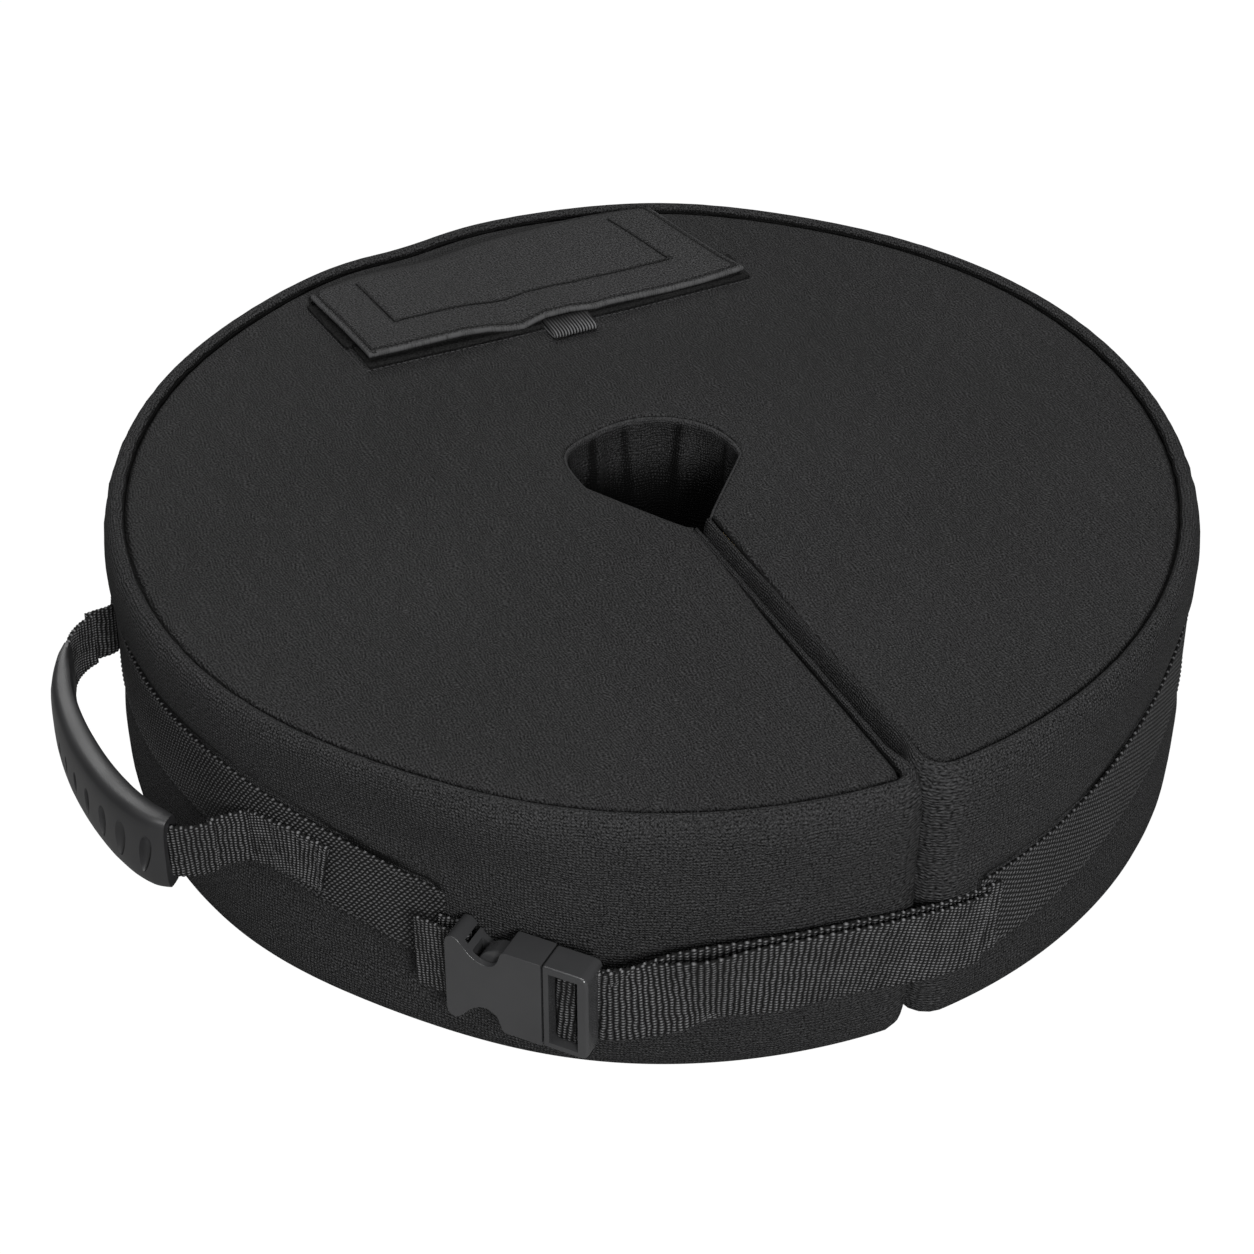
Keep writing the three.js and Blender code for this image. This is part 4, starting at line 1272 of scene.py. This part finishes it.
class SANDBAG_OT_web_loop(SandbagPiece):
    """Make the short loop of webbing that holds the socket to the belt"""

    bl_idname = "sandbag.web_loop"
    bl_label = "Buckle loop"

    ROUTE = (
        (-17, -0.9), (-9, -0.2), (-2, 0.3), (2.6, 0.4), (5.2, -0.6), (5.9, -2.6), (5.2, -4.6), (2.4, -5.4),
        (-3, -5.6), (-9, -5.6),
    )

    def make(self, cloth, webbing, hardware):
        u, w = np.array(self.ROUTE).T
        path = rounded(buckle_place(u, 0.0, w), 3)
        ribs = (2.1, 0.0003, 0.0, "webbing_handle")
        obj = ribbed("buckle_loop_webbing", path, 1.0, 34.0, 1.5, 15, ribs, 0.2, 7.0)
        finish(obj, "bag", "webbing", None, "buckle_web_loop")


def moulded(name, outline, w0, w1, round_by=0.0):
    """A plate in the buckle's directions: a closed outline of (u, v) between depths w, its edges rounded."""
    ring = np.asarray(outline, float)
    obj = prism(name, *(buckle_place(ring[:, 0], ring[:, 1], w) for w in (w0, w1)))
    if round_by:
        modifier = obj.modifiers.new("edges", "BEVEL")
        modifier.width, modifier.segments, modifier.limit_method = round_by / 1000, 3, "ANGLE"
        modifier.angle_limit = math.radians(50)
        bake(obj)
    return obj


def block(u0, u1, half, w0, w1, round_by=0.0):
    return moulded("block", [(u0, -half), (u1, -half), (u1, half), (u0, half)], w0, w1, round_by)


def both_sides(upper):
    """A closed outline from its upper half, given from left to right, and the same mirrored below."""
    upper = np.asarray(upper, float)
    return np.concatenate([upper, upper[::-1] * [1, -1]])


def crisp(obj):
    """Smooth on its curves, sharp at its corners."""
    modifier = obj.modifiers.new("shade", "WEIGHTED_NORMAL")
    modifier.keep_sharp = True
    obj.data.shade_smooth()
    edges = bmesh.new()
    edges.from_mesh(obj.data)
    for edge in edges.edges:
        edge.smooth = len(edge.link_faces) != 2 or edge.calc_face_angle(0.0) < math.radians(34)
    edges.to_mesh(obj.data)
    edges.free()
    bake(obj)


class SANDBAG_OT_buckle(SandbagPiece):
    """Make the side-release buckle: socket, plug and its two sprung prongs"""

    bl_idname = "sandbag.buckle"
    bl_label = "Buckle"

    HALF, FACE = 20.5, 7.0
    # Upper edge of the socket, with the thumb scallop where the prong shows: (along, below its full height).
    LOBE = (
        (0.0, -4.2), (0.5, -1.6), (1.8, -0.3), (3.6, 0.0), (5.4, -0.7), (7.2, -2.6), (9.2, -5.2), (11.4, -7.4),
        (13.8, -8.9), (16.4, -9.6), (18.8, -9.4), (20.8, -8.2), (22.2, -6.1), (23.0, -3.6), (23.7, -1.4),
        (24.7, -0.2),
    )
    PRONG = (
        (29.4, 9.0), (29.4, 15.2), (27.4, 16.6), (24.8, 17.4), (22.2, 17.5), (19.6, 16.9), (17.2, 15.7),
        (15.2, 14.1), (13.6, 12.2), (12.6, 10.2), (12.5, 8.6), (13.4, 7.9), (15.4, 8.3), (18.0, 9.3),
        (21.0, 10.4), (25.0, 10.4),
    )

    # What is cut out of the plug's frame round its bar: from and to along, and from and to in depth.
    LADDER = (
        (43.9, 46.5, -9, 9), (53.3, 56.0, -9, 9), (45.0, 55.0, -9, -2.4), (45.0, 55.0, 1.5, 9),
        (55.0, 62.0, -9, -1.9),
    )
    SLOT = 17.5

    def make(self, cloth, webbing, hardware):
        half, face = self.HALF, self.FACE
        upper = rounded([(u, half + v) for u, v in self.LOBE], 2)
        upper = np.concatenate([upper, [(26.0, half), (40.7, half)]])
        socket = moulded("buckle_socket_body", both_sides(upper), -face, face, 1.1)
        combine(socket, block(10.5, 42.0, 17.6, -4.3, 4.3, 0.6))
        combine(socket, block(-1.0, 8.5, 17.7, -9.0, 3.6))
        combine(socket, block(0.6, 3.8, 18.5, -4.0, -1.0, 0.8), "UNION")
        self.mould(socket, "bag", "buckle_socket")

        end = rounded([(57.0, half), (59.2, half - 0.5), (60.1, half - 2.6), (60.2, half - 6.0)], 2)
        upper = np.concatenate([[(41.05, half)], end])
        plug = moulded("buckle_plug_frame", both_sides(upper), -face, face, 1.2)
        for u0, u1, w0, w1 in self.LADDER:
            combine(plug, block(u0, u1, self.SLOT, w0, w1))
        combine(plug, block(30.0, 42.0, 16.8, -3.7, 3.7, 0.5), "UNION")
        combine(plug, block(14.0, 32.0, 3.4, -2.6, 2.6, 0.8), "UNION")
        self.mould(plug, "plug_and_strap", "buckle_plug")

        for side, body in ((1, "upper"), (-1, "lower")):
            ring = rounded([*self.PRONG, self.PRONG[0]], 1)[:-1] * [1, side]
            prong = moulded(f"buckle_prong_{body}", ring, -3.9, 3.9, 1.1)
            self.mould(prong, f"{body}_prong", f"latch_prong_{body}")

    def mould(self, obj, body, node):
        crisp(obj)
        finish(obj, body, "buckle_plastic", "buckle", node)


# ---- handle ----------------------------------------------------------------------------------
HANDLE_ROUTE = (
    (-226.5, -76.6), (-236, -76.0), (-243.5, -71.8), (-249.5, -62.0), (-254.2, -44), (-256.8, -22), (-256.8, 2),
    (-254.4, 24), (-249, 43), (-242, 57.5), (-235, 67.5), (-226.5, 71.6),
)


class SANDBAG_OT_handle(SandbagPiece):
    """Make the handle webbing, its moulded grip and its two sewn ends"""

    bl_idname = "sandbag.handle"
    bl_label = "Carrying handle"

    # Windows in the grip's outer face: place along it, height, width, lean.
    WINDOWS = (
        (0.06, 21.0, 8.0, 0.5), (0.15, 20.0, 9.0, 0.35), (0.245, 18.0, 8.0, 0.3), (0.345, 15.5, 6.0, 0.3),
        (0.44, 12.5, 4.4, 0.3), (0.53, 10.5, 3.4, 0.3), (0.61, 8.5, 2.8, 0.3),
    )

    def make(self, cloth, webbing, hardware):
        width = mm(webbing.handle_width)
        ribs = (1.9, 0.0004, -0.05, "webbing_handle")
        route = rounded([(x, y, HANDLE_Z) for x, y in HANDLE_ROUTE], 3)
        obj = ribbed("handle_webbing_run", route, -1.0, width, 1.9, 13, ribs, 0.35, 2.0)
        finish(obj, "handle", "webbing", None, "handle_webbing")
        self.grip(route, hardware)
        for name, node, first, last, y in (
            ("handle_patch_front", "handle_end_front", -151.0, -160.5, -74.6),
            ("handle_patch_rear", "handle_end_rear", 152.0, 160.9, 73.6),
        ):
            angles = np.linspace(first, last, 9)
            share = 1 if y < 0 else 0.5
            drop = (HANDLE_Z - belt_height(angles)) * smooth(np.abs(angles - last), 0, 9.0) * share
            path, _ = round_path(angles, BELT_OUT + 1.35, HANDLE_Z - drop)
            path = rounded(np.concatenate([path, [(-228.6, y, HANDLE_Z)]]), 2)
            obj = ribbed(name, path, math.copysign(1.0, y), width, 1.7, 13, ribs, 0.3, y)
            finish(obj, "bag", "webbing", None, node)
            self.bar_tack(name, angles, drop, width)

    def bar_tack(self, name, angles, drop, width):
        """The box of stitches that holds a sewn end to the belt."""
        out, half = BELT_OUT + 2.5, width / 2 - 2.2
        height = HANDLE_Z - drop
        lines = [round_path(angles[:6], out, height[:6] + side * half)[0] for side in (-1, 1)]
        for at, inset in ((0, 0.7), (5, 0.0)):
            angle = angles[at] + inset * np.sign(angles[-1] - angles[0])
            lines.append(round_path(np.full(2, angle), out, height[at] + np.array([-1, 1]) * half)[0])
        stitches(f"{name}_stitches", lines, "bag", "webbing", 2.4, 2.0, 0.4)

    def grip(self, route, hardware):
        """A sleeve round the webbing: slim and pointed behind, widening to its open front end."""
        path, run = spaced(route, 0.5)
        keep = (run > 0.10 * run[-1]) & (run < 0.875 * run[-1])
        path, run = spaced(path[keep], 0.9)
        t = run / run[-1]
        high = mm(hardware.grip_width) / 2 * np.interp(
            t, [0, 0.03, 0.12, 0.3, 0.55, 0.8, 0.95, 1], [1.03, 1.06, 1.07, 1.0, 0.94, 0.9, 0.87, 0.85]
        )
        outer = np.interp(t, [0, 0.04, 0.2, 0.5, 0.8, 0.95, 1], [6.0, 7.0, 7.6, 7.0, 5.4, 3.2, 1.9])
        inner = np.interp(t, [0, 0.04, 0.25, 0.5, 0.85, 1], [5.2, 6.4, 6.6, 6.0, 4.6, 1.9])
        face = facing(path, -1.0)
        # Cross section, half of it: (towards the outer face, up), each as a part of the full depth and height.
        half = [
            (1.0, 0.0), (1.0, 0.25), (0.98, 0.5), (0.93, 0.7), (0.85, 0.84), (0.74, 0.93), (0.55, 0.985),
            (0.3, 1.0), (0.0, 1.0), (-0.4, 0.985), (-0.7, 0.93),
            (-0.88, 0.8), (-0.96, 0.6), (-1.0, 0.3), (-1.0, 0.0),
        ]
        section = np.array(half + [(a, -b) for a, b in half[-2:0:-1]])
        depth = np.where(section[:, 0:1] > 0, outer[None], inner[None]) * section[:, 0:1]
        places = path[None] + face[None] * depth[..., None]
        places[..., 2] += section[:, 1:2] * high[None]
        around = np.arange(len(section))[:, None] * 3.0
        obj = tube("grip_sleeve", places, np.stack(np.broadcast_arrays(run[None], around), -1))
        for at, tall, wide, lean in self.WINDOWS:
            i = int(at * (len(path) - 1))
            self.carve(obj, path[i] + face[i] * (outer[i] + 1.2), face[i], tall, wide, lean, 4.6)
        ahead = unit(path[1] - path[0])
        self.carve(obj, path[0] - ahead, -ahead, 27.5, 8.6, 0.0, 13.0)
        crisp(obj)
        finish(obj, "handle", "grip_rubber", "grip", "handle_grip")

    def carve(self, obj, centre, out, tall, wide, lean, deep):
        """Takes an oval hollow out of obj: tall upwards, wide along, deep into it against out."""
        out = unit(out)
        up = np.array([0.0, 0.0, 1.0])
        along = np.cross(up, out)
        ring, rows = 20, 7
        a = 2 * math.pi * np.arange(ring) / ring
        down = (math.pi * np.arange(1, rows) / rows)[:, None, None]
        tip = 0.55 + 0.45 * (0.5 + 0.5 * np.cos(a))
        upward, across = np.cos(a) * tall / 2, np.sin(a) * wide / 2 * tip
        rim = up * upward[:, None] + along * (across + lean * upward * 0.35)[:, None]
        points = centre + rim[None] * np.sin(down) + out * deep * np.cos(down)
        points = np.concatenate([points.reshape(-1, 3), [centre + out * deep, centre - out * deep]])
        top, bottom = len(points) - 2, len(points) - 1
        last = (rows - 2) * ring
        faces = []
        for j in range(ring):
            nxt = (j + 1) % ring
            faces += [(k + j, k + nxt, k + nxt + ring, k + j + ring) for k in range(0, last, ring)]
            faces += [(top, nxt, j), (bottom, last + j, last + nxt)]
        combine(obj, add_mesh("hollow", points, faces))


class SANDBAG_PT_pieces(bpy.types.Panel):
    """Sizes, colours and pieces of the sandbag"""

    bl_label = "Sandbag"
    bl_idname = "SANDBAG_PT_pieces"
    bl_space_type = "VIEW_3D"
    bl_region_type = "UI"
    bl_category = "Sandbag"

    def draw(self, context):
        layout = self.layout
        scene = context.scene
        for group in (scene.sandbag_cloth, scene.sandbag_webbing, scene.sandbag_hardware):
            box = layout.box()
            for key in group.__annotations__:
                box.prop(group, key)
        column = layout.column(align=True)
        for operator in OPERATORS:
            column.operator(operator.bl_idname)


GROUPS_OF_SETTINGS = (SandbagCloth, SandbagWebbing, SandbagHardware)
OPERATORS = (
    SANDBAG_OT_finishes, SANDBAG_OT_stage, SANDBAG_OT_top_panel, SANDBAG_OT_side, SANDBAG_OT_base,
    SANDBAG_OT_liner, SANDBAG_OT_sand, SANDBAG_OT_flap, SANDBAG_OT_belt, SANDBAG_OT_strap,
    SANDBAG_OT_web_loop, SANDBAG_OT_buckle, SANDBAG_OT_handle,
)
CLASSES = (*GROUPS_OF_SETTINGS, *OPERATORS, SANDBAG_PT_pieces)


def register():
    for cls in CLASSES:
        bpy.utils.register_class(cls)
    bpy.types.Scene.sandbag_cloth = PointerProperty(type=SandbagCloth)
    bpy.types.Scene.sandbag_webbing = PointerProperty(type=SandbagWebbing)
    bpy.types.Scene.sandbag_hardware = PointerProperty(type=SandbagHardware)


def unregister():
    del bpy.types.Scene.sandbag_hardware
    del bpy.types.Scene.sandbag_webbing
    del bpy.types.Scene.sandbag_cloth
    for cls in reversed(CLASSES):
        bpy.utils.unregister_class(cls)


def main():
    register()
    for operator in OPERATORS:
        group, name = operator.bl_idname.split(".")
        if getattr(getattr(bpy.ops, group), name)() != {"FINISHED"}:
            raise RuntimeError(f"{operator.bl_label} was not made")


if __name__ == "__main__":
    main()
